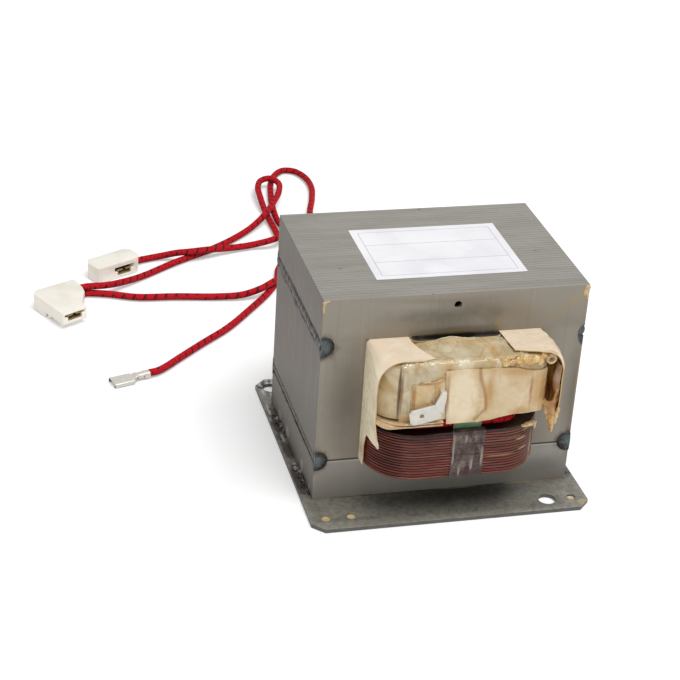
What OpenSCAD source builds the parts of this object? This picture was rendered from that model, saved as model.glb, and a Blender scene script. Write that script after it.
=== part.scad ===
// High-voltage transformer with a welded E and I core, two coils, a filament winding and loose leads.
// The origin is the middle of the base plate's underside, X to the right, Y to the back, Z up.

/* [Core] */
// Width of the centre limb that the coils go around
limb_w = 34.6; // [28:0.1:45]
// Width of each window beside the centre limb
window_w = 17.4; // [16.4:0.1:24]
// Width of each outer leg
leg_w = 17.3; // [12:0.1:30]
// Height of the windows
window_h = 52; // [44:0.1:70]
// Height of the yoke above the windows
yoke_h = 17.35; // [14:0.05:30]
// Height of the straight bar below the windows
bar_h = 17.35; // [10:0.05:30]
// Depth of the stack of laminations
stack_d = 76; // [60:0.5:100]
// Number of lamination packs that show on the stack
pack_count = 38; // [20:1:40]
// Depth of the groove between two packs
groove = 0.12; // [0.05:0.01:0.3]
// Diameter of the hole through the yoke
yoke_hole_d = 3; // [2:0.1:5]
// Height of the yoke hole above the windows
yoke_hole_rise = 12.2; // [5:0.1:12.4]

/* [Welds] */
// Radius of the round groove that a weld runs in
notch_r = 2.2; // [1.5:0.1:3]
// Height of the upper weld below the top of the windows
upper_weld_drop = 2.3; // [1:0.1:8]
// Radius of the blob at each end of a weld
blob_r = 4.9; // [4:0.1:6]
// Thickness of the blob at each end of a weld
blob_t = 0.7; // [0.4:0.1:1.2]
// Length of each weld between the bar and the base plate
plate_weld_l = 23; // [6:0.5:24]
// Radius of each weld between the bar and the base plate
plate_weld_r = 1.8; // [1:0.1:2.5]

/* [Base plate] */
// Thickness of the base plate
plate_t = 1.6; // [1:0.1:3]
// Distance that the plate stands out at each side of the core
side_overhang = 4; // [3:0.5:10]
// Distance that the plate stands out in front of the core
front_overhang = 21; // [20:0.5:30]
// Distance that the plate stands out behind the core
back_overhang = 19; // [18:0.5:30]
// Size of the clipped corners
corner_cut = 4.6; // [2:0.1:6]
// Diameter of the two large holes
big_hole_d = 7; // [4:0.1:8]
// Diameter of the six small holes
small_hole_d = 3.4; // [2:0.1:5]
// Distance of the hole rows from the front and back edges
hole_row_inset = 7.3; // [6.5:0.1:9]
// Distance of the outer holes from the side edges
outer_hole_inset = 6.2; // [5:0.1:8]
// Distance of the inner holes from the side edges
inner_hole_inset = 16.2; // [14:0.1:20]

/* [Coils] */
// Height of the primary coil
primary_h = 19.8; // [16:0.1:22]
// Number of turns that show on the outside of the primary coil
primary_turns = 17; // [10:1:20]
// Free space between the secondary coil and the paper below the yoke
top_space = 1; // [0.6:0.1:2]
// Corner radius of the secondary coil's outside
secondary_corner_r = 11; // [8:0.5:15]
// Corner radius of the inside of both coils
coil_inner_r = 2.5; // [2:0.1:4]
// Wall thickness of the coil formers
former_t = 0.8; // [0.6:0.1:1.2]
// Free space between the core and a former at its front and back
end_space = 2.4; // [1:0.1:4]
// Thickness of the paper that lines the windows
liner_t = 0.45; // [0.3:0.05:0.6]
// Height of the magnetic shunts between the coils
shunt_h = 6.1; // [5.8:0.1:9]
// Width of the magnetic shunts
shunt_w = 9.4; // [8:0.1:9.6]
// Thickness of the collar that the secondary coil sits on
collar_t = 0.6; // [0.4:0.1:0.9]
// Distance that the collar stands out in front of and behind the secondary coil
collar_lip = 2.6; // [1:0.1:4]

/* [Filament winding] */
// Outer diameter of the sleeved lead wire
wire_d = 3.2; // [3:0.1:3.3]
// Free space between the centre limb and the inner turn
turn_clearance = 0.4; // [0.2:0.1:0.6]
// Distance of the inner turn in front of and behind the core
turn_reach = 11.2; // [9:0.1:12]
// Width of the green tape around both turns
winding_tape_w = 11; // [6:0.5:16]
// Width of the clear tape over the primary coil
primary_tape_w = 13; // [6:0.5:16]

/* [Front papers and tab] */
// Distance of the cream card's top below the top of the secondary coil
card_top_gap = 2.9; // [1:0.1:6]
// Distance that the cream card hangs below the secondary coil
card_drop = 2.3; // [1:0.1:2.6]
// Thickness of the cream card
card_t = 0.6; // [0.4:0.1:1]
// Width of the amber patch
amber_w = 10.5; // [8:0.5:14]
// Distance of the amber patch's top below the top of the secondary coil
amber_top_gap = 7.6; // [4:0.1:9]
// Width of the high-voltage tab's blade
tab_w = 6.3; // [4.8:0.1:6.5]
// Thickness of the high-voltage tab
tab_t = 0.8; // [0.5:0.1:1]
// Diameter of the hole in the tab
tab_hole_d = 1.7; // [1:0.1:2]
// Diameter of the rolled paper tube beside the right window
roll_d = 4.8; // [4:0.1:5]

/* [Label] */
// Width of the label on the top of the core
label_w = 60; // [30:1:90]
// Depth of the label
label_d = 44; // [20:1:56]
// Thickness of the label
label_t = 0.15; // [0.1:0.05:0.3]

/* [Connectors] */
// Height of the two white housings
housing_h = 8; // [7:0.1:10]
// Wall below a housing's slot
housing_wall = 1.3; // [1:0.1:1.4]
// Width of the receptacles that take a blade
receptacle_w = 7.4; // [7:0.1:7.6]
// Height of the receptacles
receptacle_h = 2.6; // [2.2:0.1:2.8]
// Thickness of the receptacles' sheet
sheet_t = 0.4; // [0.3:0.05:0.5]

/* [Hidden] */

// Places worked out from the sizes above
core_w = limb_w + 2 * window_w + 2 * leg_w;
core_y = (front_overhang - back_overhang) / 2;
core_front = core_y - stack_d / 2;
core_back = core_y + stack_d / 2;
window_x = (limb_w + window_w) / 2;
bar_top = plate_t + bar_h;
window_top = bar_top + window_h;
core_top = window_top + yoke_h;
plate_w = core_w + 2 * side_overhang;
plate_d = stack_d + front_overhang + back_overhang;
groove_w = 0.2;
upper_weld_z = window_top - upper_weld_drop;

former_gap = 0.15;
liner_gap = 0.15;
coil_in_x = limb_w / 2 + former_gap + former_t;
coil_in_y = stack_d / 2 + end_space + former_t + former_gap;
coil_out_x = limb_w / 2 + window_w - liner_t - liner_gap;
coil_build = coil_out_x - coil_in_x;
coil_out_y = coil_in_y + coil_build;
coil_front = core_y - coil_out_y;
coil_back = core_y + coil_out_y;
primary_z = bar_top + liner_t;
primary_top = primary_z + primary_h;
collar_z = primary_top + shunt_h;
secondary_z = collar_z + collar_t;
secondary_top = window_top - liner_t - top_space;
secondary_h = secondary_top - secondary_z;

// Things on the front of the secondary coil, each beside the one on its left
wrap_t = 0.4;
wrap_half = coil_out_x - secondary_corner_r;
amber_x = 1.4 - wrap_half;
tab_root_w = 2;
tab_root_x = amber_x + amber_w + 0.2;
card_x = tab_root_x + tab_root_w + 0.3;
card_w = coil_out_x - 1.9 - card_x;
card_h = card_drop + secondary_h - card_top_gap;

// Filament winding and the places where its two ends come out
wire_r = wire_d / 2;
turn_gap = 0.1;
inner_turn_x = limb_w / 2 + turn_clearance + wire_r;
inner_turn_y = stack_d / 2 + turn_reach;
inner_turn_r = 3;
outer_turn_x = inner_turn_x + wire_d + turn_gap;
outer_turn_y = inner_turn_y + wire_d + turn_gap;
outer_turn_r = inner_turn_r + wire_d + turn_gap;
joint_swell = 0.05;
turn_z = primary_top + wire_r + joint_swell;
exit_y = 58;
exit_a_x = 8;
exit_b_x = -6;
exit_a = [exit_a_x, exit_y, turn_z];
exit_b = [exit_b_x, exit_y, turn_z + wire_d + turn_gap];
exit_bend_r = 3.2;

// White housings and the bare receptacle, each as a place on the floor and a turn about Z
housing_turn = 28;
housing_a_at = [-103, 159.9, 0];
housing_a_wire = [20, 11.2, wire_r + 0.2];
housing_a_slot = [9.9, 4.2, housing_wall];
housing_a_outline = [[-5.6, 4.2], [17.6, 4.2], [20, 7], [20, 13.2], [16.8, 15.9], [-3, 15.9], [-5.6, 12.6]];
housing_b_at = [-131.1, 116.5, 0];
housing_b_side = [[23.2, 18.5], [24.8, 27.5]];
housing_b_step = 2.2;
housing_b_slot = [7.2, 1, housing_b_step + housing_wall];
housing_b_outline = concat([[0.6, 0.8], [13.6, 1.2], [13.9, 5.2], [16.5, 8.6], [21.6, 14.4]],
    housing_b_side, [[4, 28.2], [1, 25.4]]);
housing_b_wire = (housing_b_side[0] + housing_b_side[1]) / 2;
housing_b_face_turn = housing_turn - atan2(1.6, 9);
stacked_rise = wire_d + 0.2;
slot_clearance = 0.2;
spade_turn = 196.7;
spade_at = [-99.5, 70, 0];
barrel_r = 1.9;
barrel_z = 2;

// Routes of the three leads, whose ends follow the winding and the connectors
floor_z = wire_r + 0.1;
hump_z = floor_z + wire_d + 0.2;
lead_in = 4;
function turned(v, a) = [v[0] * cos(a) - v[1] * sin(a), v[0] * sin(a) + v[1] * cos(a)];
function placed(at, a, v, z) = [at[0] + turned(v, a)[0], at[1] + turned(v, a)[1], z];
function beside(p, a) = p + lead_in * [cos(a), sin(a), 0];
end_a = placed(housing_a_at, housing_turn, housing_a_wire, housing_a_wire[2]);
end_b = placed(housing_b_at, housing_turn, housing_b_wire, floor_z + stacked_rise);
start_j = placed(housing_b_at, housing_turn, housing_b_wire, floor_z);
end_j = [spade_at[0], spade_at[1], barrel_z];
route_a = [
    exit_a, exit_a + [0, 6, 0], [8.7, 72, 36], [9.3, 76.5, 20], [10.5, 82, 7], [12, 91, floor_z + 0.1],
    [15, 122, floor_z], [12, 155, floor_z], [7, 185, floor_z], [5.5, 207, floor_z],
    [8, 225.5, floor_z], [13, 242.5, floor_z], [16.3, 258, floor_z], [15.8, 271.5, floor_z],
    [11.5, 280.5, floor_z], [6, 282, floor_z], [1, 277.5, floor_z], [-4, 266.5, floor_z],
    [-7.5, 250.5, floor_z], [-10, 233, floor_z], [-10.8, 217, floor_z + 0.1], [-10.6, 207, 3.4],
    [-12, 197.5, hump_z], [-17.5, 190.5, hump_z], [-30, 190, 2.4], [-44, 186.4, 3], [-54, 182.3, 4.8],
    [-62, 180.6, hump_z], [-69, 181.8, 4.2], [-77, 183.7, 2],
    beside(end_a, housing_turn), end_a,
];
route_b = [
    exit_b, exit_b + [0, 6, 0], [-6.7, 73, 38], [-7, 78, 20], [-6.5, 83, 7.5], [-4, 92, floor_z + 0.1],
    [-1, 118, floor_z], [3, 148, floor_z], [2, 171, floor_z], [-7, 185, floor_z],
    [-13.6, 197, floor_z], [-14.5, 212, floor_z], [-14.8, 229, 1.9], [-14.8, 243, 4.2], [-13.8, 254, hump_z],
    [-10.5, 262, hump_z], [-5.5, 264.5, hump_z], [-2, 258.5, hump_z], [-3.8, 247.5, hump_z],
    [-10.3, 232.5, hump_z], [-17.2, 219.2, hump_z], [-26, 210, 2.6], [-38, 199, floor_z],
    [-52, 188, floor_z], [-70, 177, floor_z], [-88, 164, floor_z], [-98, 156.5, 3],
    [-107.5, 150.2, 4.8], beside(end_b, housing_b_face_turn), end_b,
];
route_j = [
    start_j, beside(start_j, housing_b_face_turn), [-107, 147.2, floor_z], [-94, 142.3, floor_z],
    [-76, 140.6, floor_z], [-57, 138, floor_z], [-45, 136.9, 2.5], [-36, 138, 4.6],
    [-28, 144, hump_z], [-19, 150.5, 3.6], [-9, 154.5, 1.8], [-3.5, 161.5, floor_z],
    [-6, 169.5, floor_z], [-14, 172, floor_z], [-21, 165.5, floor_z], [-26, 150, floor_z],
    [-33, 138, floor_z], [-44, 123.5, floor_z], [-58, 106.5, floor_z], [-72, 93.5, floor_z],
    [-85, 81, floor_z], [-91.5, 74.5, 1.8], beside(end_j, spade_turn + 180), end_j,
];

// Colours, light to dark
cream = "#e6dcc4";
tan_paper = "#c9ab74";
amber = "#c89240";
steel = "#8a8780";
copper_enamel = "#5c2320";
lead_red = "#c9222c";
tinned = "#c8cacb";
nylon = "#efede4";

// Rounded rectangle about the middle, from its half sizes and its corner radius
module rounded(half_x, half_y, r) {
    square([2 * (half_x - r), 2 * half_y], center = true);
    square([2 * half_x, 2 * (half_y - r)], center = true);
    for (sx = [-1, 1], sy = [-1, 1])
        translate([sx * (half_x - r), sy * (half_y - r)]) circle(r = r, $fn = 48);
}

// Upright tube between two rounded rectangles around the centre limb
module band(z, h, outer, inner) {
    translate([0, core_y, z]) linear_extrude(h) difference() {
        rounded(outer[0], outer[1], outer[2]);
        rounded(inner[0], inner[1], inner[2]);
    }
}

// Puts an outline drawn in X and Z onto a sheet that starts at y and goes back by t
module upright(y, t) {
    translate([0, y + t, 0]) rotate([90, 0, 0]) linear_extrude(t) children();
}

// Stack of laminations, with the outline for the groove floor first and for the packs second
module stack() {
    pitch = (stack_d + groove_w) / pack_count;
    upright(core_front, stack_d) children(0);
    for (i = [0 : pack_count - 1])
        upright(core_front + i * pitch, pitch - groove_w) children(1);
}

module e_outline(inset) {
    difference() {
        translate([-core_w / 2 + inset, bar_top])
            square([core_w - 2 * inset, window_h + yoke_h - inset]);
        for (s = [-1, 1]) {
            translate([s * window_x - window_w / 2, bar_top - 1]) square([window_w, window_h + 1]);
            translate([s * (core_w / 2 - inset), upper_weld_z]) circle(r = notch_r, $fn = 48);
            translate([s * (core_w / 2 - inset), bar_top]) circle(r = notch_r, $fn = 48);
        }
        translate([0, window_top + yoke_hole_rise]) circle(d = yoke_hole_d, $fn = 32);
    }
}

module i_outline(inset) {
    difference() {
        translate([-core_w / 2 + inset, plate_t]) square([core_w - 2 * inset, bar_h]);
        for (s = [-1, 1]) translate([s * (core_w / 2 - inset), bar_top]) circle(r = notch_r, $fn = 48);
    }
}

module e_core() {
    color(steel) stack() {
        e_outline(groove);
        e_outline(0);
    }
}

module i_core() {
    color(steel) stack() {
        i_outline(groove);
        i_outline(0);
    }
}

module base_plate() {
    hw = plate_w / 2;
    hd = plate_d / 2;
    c = corner_cut;
    row = hd - hole_row_inset;
    outer_x = hw - outer_hole_inset;
    inner_x = hw - inner_hole_inset;
    color(steel) linear_extrude(plate_t) difference() {
        polygon([[-hw + c, -hd], [hw - c, -hd], [hw, -hd + c], [hw, hd - c],
                 [hw - c, hd], [-hw + c, hd], [-hw, hd - c], [-hw, -hd + c]]);
        translate([inner_x, -row]) circle(d = big_hole_d, $fn = 48);
        translate([-outer_x, row]) circle(d = big_hole_d, $fn = 48);
        for (p = [[outer_x, -row], [-outer_x, -row], [-inner_x, -row],
                  [-inner_x, row], [inner_x, row], [outer_x, row]])
            translate(p) circle(d = small_hole_d, $fn = 32);
    }
}

// Weld along the right edge of the core, with a blob on the front and on the back
module edge_weld(z) {
    flush = 0.15;
    fit = 0.05;
    color("#4c4a4a") {
        upright(core_front - blob_t, stack_d + 2 * blob_t) intersection() {
            translate([core_w / 2, z]) circle(r = notch_r - fit, $fn = 48);
            translate([core_w / 2 - 2 * notch_r, z - notch_r])
                square([2 * notch_r - flush, 2 * notch_r]);
        }
        for (s = [-1, 1]) intersection() {
            translate([core_w / 2, core_y + s * stack_d / 2, z]) rotate([-90 * s, 0, 0])
                cylinder(r1 = blob_r, r2 = 0.73 * blob_r, h = blob_t, $fn = 48);
            translate([core_w / 2 - 2 * blob_r, core_y - stack_d, z - blob_r])
                cube([2 * blob_r, 2 * stack_d, 2 * blob_r]);
        }
    }
}

module upper_weld_left() { mirror([1, 0, 0]) edge_weld(upper_weld_z); }
module upper_weld_right() { edge_weld(upper_weld_z); }
module seam_weld_left() { mirror([1, 0, 0]) edge_weld(bar_top); }
module seam_weld_right() { edge_weld(bar_top); }

// Two beads in the corner between the bar's right side and the base plate
module plate_welds() {
    front_bead_inset = 15;
    back_bead_inset = 18;
    color("#3f3c3a") for (y = [core_front + front_bead_inset, core_back - back_bead_inset])
        translate([core_w / 2, 0, plate_t]) upright(y - plate_weld_l / 2, plate_weld_l)
            intersection() {
                circle(r = plate_weld_r, $fn = 32);
                square(plate_weld_r);
            }
}

module plate_welds_left() { mirror([1, 0, 0]) plate_welds(); }
module plate_welds_right() { plate_welds(); }

// Section of the primary coil from its inside at x = 0, with its outer turns as beads
module turns_outline() {
    pitch = primary_h / primary_turns;
    r = 0.48 * pitch;
    square([coil_build - r, primary_h]);
    for (i = [0 : primary_turns - 1])
        translate([coil_build - r, (i + 0.5) * pitch]) circle(r = r, $fn = 24);
}

module primary_coil() {
    ri = coil_inner_r;
    color(copper_enamel) translate([0, core_y, primary_z]) {
        for (sx = [0, 1], sy = [0, 1]) mirror([sx, 0, 0]) mirror([0, sy, 0])
            translate([coil_in_x - ri, coil_in_y - ri, 0])
                rotate_extrude(angle = 90, $fn = 64) translate([ri, 0]) turns_outline();
        for (s = [0, 1]) mirror([s, 0, 0]) translate([coil_in_x, coil_in_y - ri, 0])
            rotate([90, 0, 0]) linear_extrude(2 * (coil_in_y - ri)) turns_outline();
        for (s = [0, 1]) mirror([0, s, 0]) translate([ri - coil_in_x, coil_in_y, 0])
            rotate([90, 0, 90]) linear_extrude(2 * (coil_in_x - ri)) turns_outline();
    }
}

// Former of a coil, whose corners stay clear of the coil's own
module former(z, h) {
    outer_r = coil_inner_r + 0.8;
    color(tan_paper) band(z, h,
        [coil_in_x, coil_in_y, outer_r],
        [coil_in_x - former_t, coil_in_y - former_t, outer_r - former_t]);
}

module primary_former() { former(primary_z, primary_h); }
module secondary_former() { former(secondary_z, secondary_h + top_space - 0.3); }

module secondary_coil() {
    color(tan_paper) band(secondary_z, secondary_h,
        [coil_out_x, coil_out_y, secondary_corner_r],
        [coil_in_x, coil_in_y, coil_inner_r]);
}

// Clear tape down the front of the primary coil and over its top
module primary_tape() {
    t = 0.2;
    x = -4;
    over = 2.4;
    color("#b3a59a") {
        translate([x, coil_front - t, primary_z]) cube([primary_tape_w, t, primary_h + t]);
        translate([x, coil_front - t, primary_top]) cube([primary_tape_w, over, t]);
    }
}

// Paper wrap over the front and the top of the secondary coil
module secondary_wrap() {
    w = 2 * wrap_half;
    color(cream) {
        translate([-wrap_half, coil_front - wrap_t, secondary_z]) cube([w, wrap_t, secondary_h + wrap_t]);
        translate([-wrap_half, coil_front - wrap_t, secondary_top]) cube([w, coil_build + wrap_t, wrap_t]);
    }
}

// Card below the secondary coil, flush with it behind the front card and cut open where the
// filament winding's inner end rises
module secondary_collar() {
    slot_half = wire_r + 1.4;
    color(tan_paper) difference() {
        band(collar_z, collar_t,
            [coil_out_x, coil_out_y + collar_lip, secondary_corner_r],
            [coil_in_x, coil_in_y, coil_inner_r]);
        translate([exit_b_x - slot_half - 8, core_back, collar_z - 1])
            cube([2 * slot_half + 8, stack_d, collar_t + 2]);
        difference() {
            translate([card_x - 0.3, coil_front - 2 * collar_lip, collar_z - 1])
                cube([2 * coil_out_x, 2 * collar_lip + secondary_corner_r + 1, collar_t + 2]);
            band(collar_z - 2, collar_t + 4, [coil_out_x, coil_out_y, secondary_corner_r],
                [coil_in_x, coil_in_y, coil_inner_r]);
        }
    }
}

// Card on the front of the wrap, bent round the coil's right corner
module front_card() {
    inner = wrap_t;
    outer = wrap_t + card_t;
    left = card_x;
    right = card_x + card_w;
    bottom = secondary_z - card_drop;
    top = bottom + card_h;
    color(cream) intersection() {
        band(bottom, card_h,
            [coil_out_x + outer, coil_out_y + outer, secondary_corner_r + outer],
            [coil_out_x + inner, coil_out_y + inner, secondary_corner_r + inner]);
        upright(coil_front - outer - 1, secondary_corner_r)
            polygon([[left + 1.2, bottom], [left + 6, bottom], [right, bottom + 1.4], [right, top - 2.6],
                     [left + 8, top], [left, top]]);
    }
}

module amber_patch() {
    t = 0.2;
    lift = 1;
    color(amber) translate([amber_x, coil_front - wrap_t - t, secondary_z + lift])
        cube([amber_w, t, secondary_h - lift - amber_top_gap]);
}

// Paper around one window: along the bar, up the leg and below the yoke, then out past the core
module left_slot_liner() {
    leg_x = -limb_w / 2 - window_w;
    side_reach = coil_front + 1.2;
    tip_z = collar_z - 8;
    lip_x = 1.5 - limb_w / 2;
    color(cream) {
        translate([leg_x, core_front, bar_top]) cube([window_w, stack_d, liner_t]);
        translate([leg_x, core_front, window_top - liner_t]) cube([window_w, stack_d, liner_t]);
        translate([leg_x, 0, 0]) rotate([90, 0, 90]) linear_extrude(liner_t)
            polygon([[core_back + 5, bar_top], [core_back + 5, window_top], [side_reach, window_top],
                     [side_reach, secondary_z + 2], [side_reach - 4, tip_z], [side_reach + 6, collar_z],
                     [core_front - 6, bar_top + 12], [core_front - 5, bar_top]]);
        translate([0, 0, window_top - liner_t]) linear_extrude(liner_t)
            polygon([[leg_x, core_front], [-limb_w / 2 - 1.2, core_front], [lip_x, side_reach + 1],
                     [leg_x + 7, side_reach], [leg_x, side_reach + 1]]);
    }
}

module right_slot_liner() {
    leg_x = limb_w / 2 + window_w;
    reach = 16;
    bulge = 3.2;
    tip = coil_front - 0.8;
    color(cream) {
        translate([leg_x - window_w, core_front, bar_top]) cube([window_w, stack_d, liner_t]);
        translate([leg_x - window_w, core_front, window_top - liner_t])
            cube([window_w, stack_d, liner_t]);
        translate([leg_x - liner_t, core_front, bar_top]) cube([liner_t, stack_d + 5, window_h]);
        translate([0, 0, window_top - liner_t]) linear_extrude(liner_t)
            polygon([[limb_w / 2, core_front], [limb_w / 2 + 3, core_front - reach + 1],
                     [leg_x, core_front - reach - 1], [leg_x, core_front]]);
        intersection() {
            translate([0, 0, bar_top]) linear_extrude(window_h) polygon([
                [leg_x, core_front], [leg_x + bulge, core_front - 9], [leg_x + bulge, core_front - 17],
                [leg_x + 1, tip], [leg_x + 1 - liner_t, tip], [leg_x + bulge - liner_t, core_front - 17],
                [leg_x + bulge - liner_t, core_front - 9], [leg_x - liner_t, core_front]]);
            rotate([90, 0, 90]) linear_extrude(core_w) polygon([
                [core_front, window_top], [core_front - 9, window_top],
                [core_front - 9, roll_seat], [tip, roll_seat], [tip, secondary_z - 2],
                [core_front - 16, collar_z - 10], [core_front - 8, collar_z - 1],
                [core_front, collar_z - 6]]);
        }
    }
}

// Rolled paper beside the secondary coil, on the edge of the right liner
roll_z = window_top - 3.5;
roll_seat = roll_z - roll_d / 2 + 0.2;
module rolled_paper_tube() {
    wall = 0.7;
    length = 6;
    color(tan_paper) translate([coil_out_x + 2.1, core_front - 11, roll_z]) rotate([90, 0, 0])
        difference() {
            cylinder(d = roll_d, h = length, $fn = 48);
            translate([0, 0, -1]) cylinder(d = roll_d - 2 * wall, h = length + 2, $fn = 48);
        }
}

module shunt() {
    outer = limb_w / 2 + window_w - liner_t;
    color("#6f6c68") translate([outer - shunt_w, core_front, primary_top])
        cube([shunt_w, stack_d, shunt_h]);
}

module left_shunt() { mirror([1, 0, 0]) shunt(); }
module right_shunt() { shunt(); }

// Wire that starts at the origin along X: each step goes straight or turns on a radius,
// to the left of its own frame after that frame is rolled about the wire.
// A turn that isn't square ends in a ball that is a little wider than the wire.
module wire(steps, r, i = 0) {
    if (i < len(steps)) {
        step = steps[i];
        if (step[0] == "go") {
            rotate([0, 90, 0]) cylinder(r = r, h = step[1], $fn = 32);
            translate([step[1], 0, 0]) wire(steps, r, i + 1);
        } else {
            roll = step[3];
            rotate([roll, 0, 0]) {
                translate([0, step[1], 0]) rotate([0, 0, -90])
                    rotate_extrude(angle = step[2], $fn = 48) translate([step[1], 0]) circle(r = r, $fn = 32);
                translate([0, step[1], 0]) rotate([0, 0, step[2]]) translate([0, -step[1], 0]) {
                    if (step[2] != 90) sphere(r = r + joint_swell, $fn = 32);
                    rotate([-roll, 0, 0]) wire(steps, r, i + 1);
                }
            }
        }
    }
}

// Two turns around the centre limb, the outer one first, with both ends out at the back
module filament_winding() {
    side_run = 2 * (inner_turn_y - inner_turn_r);
    end_run = 2 * (inner_turn_x - inner_turn_r);
    corner_x = inner_turn_x - inner_turn_r;
    shift = wire_d + turn_gap;
    jog_r = 5;
    jog_turn = acos(1 - shift / (2 * jog_r));
    jog_l = 2 * jog_r * sin(jog_turn);
    jog_x = -3;
    rise_turn = acos(1 - shift / (2 * exit_bend_r));
    rise_l = 2 * exit_bend_r * sin(rise_turn);
    left = 0;
    right = 180;
    up = 90;
    down = -90;
    color(lead_red) translate(exit_a) rotate([0, 0, -90]) wire([
        ["go", exit_y - core_y - outer_turn_y - exit_bend_r], ["turn", exit_bend_r, 90, left],
        ["go", corner_x - exit_a_x - exit_bend_r], ["turn", outer_turn_r, 90, right],
        ["go", side_run], ["turn", outer_turn_r, 90, right],
        ["go", end_run], ["turn", outer_turn_r, 90, right],
        ["go", side_run], ["turn", outer_turn_r, 90, right],
        ["go", corner_x + jog_x], ["turn", jog_r, jog_turn, right], ["turn", jog_r, jog_turn, left],
        ["go", corner_x - jog_x - jog_l], ["turn", inner_turn_r, 90, right],
        ["go", side_run], ["turn", inner_turn_r, 90, right],
        ["go", end_run], ["turn", inner_turn_r, 90, right],
        ["go", side_run], ["turn", inner_turn_r, 90, right],
        ["turn", exit_bend_r, rise_turn, up], ["turn", exit_bend_r, rise_turn, down],
        ["go", corner_x + exit_b_x - rise_l - exit_bend_r], ["turn", exit_bend_r, 90, left],
        ["go", exit_y - core_y - inner_turn_y - exit_bend_r],
    ], wire_r);
}

// Tape over the two turns at the front, whose feet stand on the primary coil
module winding_tape() {
    t = 0.25;
    x = -3;
    clear = 0.05;
    far = core_y - outer_turn_y - wire_r - clear - t;
    near = core_y - inner_turn_y + wire_r + clear + t;
    color("#5f8f6c") translate([x, 0, primary_top]) difference() {
        translate([0, far, 0]) cube([winding_tape_w, near - far, wire_d + clear + t]);
        translate([-1, far + t, -1]) cube([winding_tape_w + 2, near - far - 2 * t, wire_d + clear + 1]);
    }
}

// Flag-shaped tab: its root comes out of the wrap and its blade hangs to the left in front
module high_voltage_tab() {
    blade_turn = 12;
    root_x = tab_root_x;
    root_w = tab_root_w;
    root_drop = 10.7;
    root_h = 3;
    bend = [root_x - 0.6, -8];
    blade_l = 11.2;
    hole_at = 6.5;
    chamfer = 1.2;
    stand_off = 2.2;
    y = coil_front - wrap_t - stand_off;
    top = secondary_top - root_drop;
    color(tinned) {
        difference() {
            upright(y - tab_t, tab_t) translate([0, top]) {
                polygon([[root_x, 0], [root_x - 2.6, bend[1] + 2], [root_x + 1.2, bend[1] - 1],
                         [root_x + root_w, -root_h], [root_x + root_w, 0]]);
                translate(bend) rotate([0, 0, 180 + blade_turn]) translate([0, -tab_w / 2])
                    polygon([[-0.8, 0], [blade_l - chamfer, 0], [blade_l, chamfer],
                             [blade_l, tab_w - chamfer], [blade_l - chamfer, tab_w], [-0.8, tab_w]]);
            }
            translate([bend[0], y - tab_t - 1, top + bend[1]]) rotate([0, -180 - blade_turn, 0])
                translate([hole_at, 0, 0]) rotate([-90, 0, 0]) cylinder(d = tab_hole_d, h = tab_t + 2, $fn = 24);
        }
        translate([root_x, y - tab_t, top - root_h]) cube([root_w, stand_off + tab_t, root_h]);
    }
}

// Card on the back of the primary coil with two tabs for the supply
pcard_t = 0.8;
pcard_w = 30;
pcard_h = 12;
pcard_z = primary_z + 3.8;
module primary_card() {
    color(tan_paper) translate([-pcard_w / 2, coil_back, pcard_z]) cube([pcard_w, pcard_t, pcard_h]);
}

// Tab that stands out of the card to the back, flat side up
module primary_tab(x) {
    length = 8;
    z = pcard_z + pcard_h / 2;
    color(tinned) difference() {
        translate([x - tab_w / 2, coil_back + pcard_t, z]) cube([tab_w, length, tab_t]);
        translate([x, coil_back + pcard_t + length - 3.2, z - 1]) cylinder(d = tab_hole_d, h = tab_t + 2, $fn = 24);
    }
}

module primary_tab_left() { primary_tab(-10.5); }
module primary_tab_right() { primary_tab(10.5); }

// Strip that takes the secondary coil's inner end over its top to the yoke's back
strip_t = 0.4;
strip_w = 6;
strip_x = 22;
strip_rise = 9;
module ground_strip() {
    color(tinned) {
        translate([strip_x - strip_w / 2, core_back, secondary_top]) cube([strip_w, coil_build, strip_t]);
        translate([strip_x - strip_w / 2, core_back, secondary_top])
            cube([strip_w, strip_t, window_top + strip_rise - secondary_top]);
    }
}

// Spot weld that holds the strip on the yoke
module ground_weld() {
    r = 2;
    color("#4c4a4a") translate([strip_x, core_back + strip_t, window_top + strip_rise - r - 1])
        rotate([-90, 0, 0]) cylinder(r1 = r, r2 = 0.7 * r, h = 0.5, $fn = 32);
}

module label() {
    x = 1.75;
    y = core_y - 2.1;
    color("#d9d5c9") translate([x - label_w / 2, y - label_d / 2, core_top])
        cube([label_w, label_d, label_t]);
}

// Direction of a route at one of its points
function heading(route, i) =
    let (d = route[min(i + 1, len(route) - 1)] - route[max(i - 1, 0)]) d / norm(d);

// Ring of points around a route at one of its points
sides = 8;
function ring(route, i) =
    let (h = heading(route, i), flat = cross(h, [0, 0, 1]), a = flat / norm(flat), b = cross(a, h))
    [for (k = [0 : sides - 1]) let (t = (k + 0.5) * 360 / sides)
        route[i] + wire_r * (cos(t) * a + sin(t) * b)];

module tube(route) {
    n = len(route);
    points = [for (i = [0 : n - 1]) each ring(route, i)];
    walls = [for (i = [0 : n - 2], k = [0 : sides - 1])
        let (a = i * sides + k, b = i * sides + (k + 1) % sides) each [[a, b, b + sides], [a, b + sides, a + sides]]];
    start_cap = [[for (k = [0 : sides - 1]) sides - 1 - k]];
    end_cap = [[for (k = [0 : sides - 1]) (n - 1) * sides + k]];
    polyhedron(points, concat(start_cap, walls, end_cap));
}

module lead_a() { color(lead_red) tube(route_a); }
module lead_b() { color(lead_red) tube(route_b); }
module jumper_lead() { color(lead_red) tube(route_j); }

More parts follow.
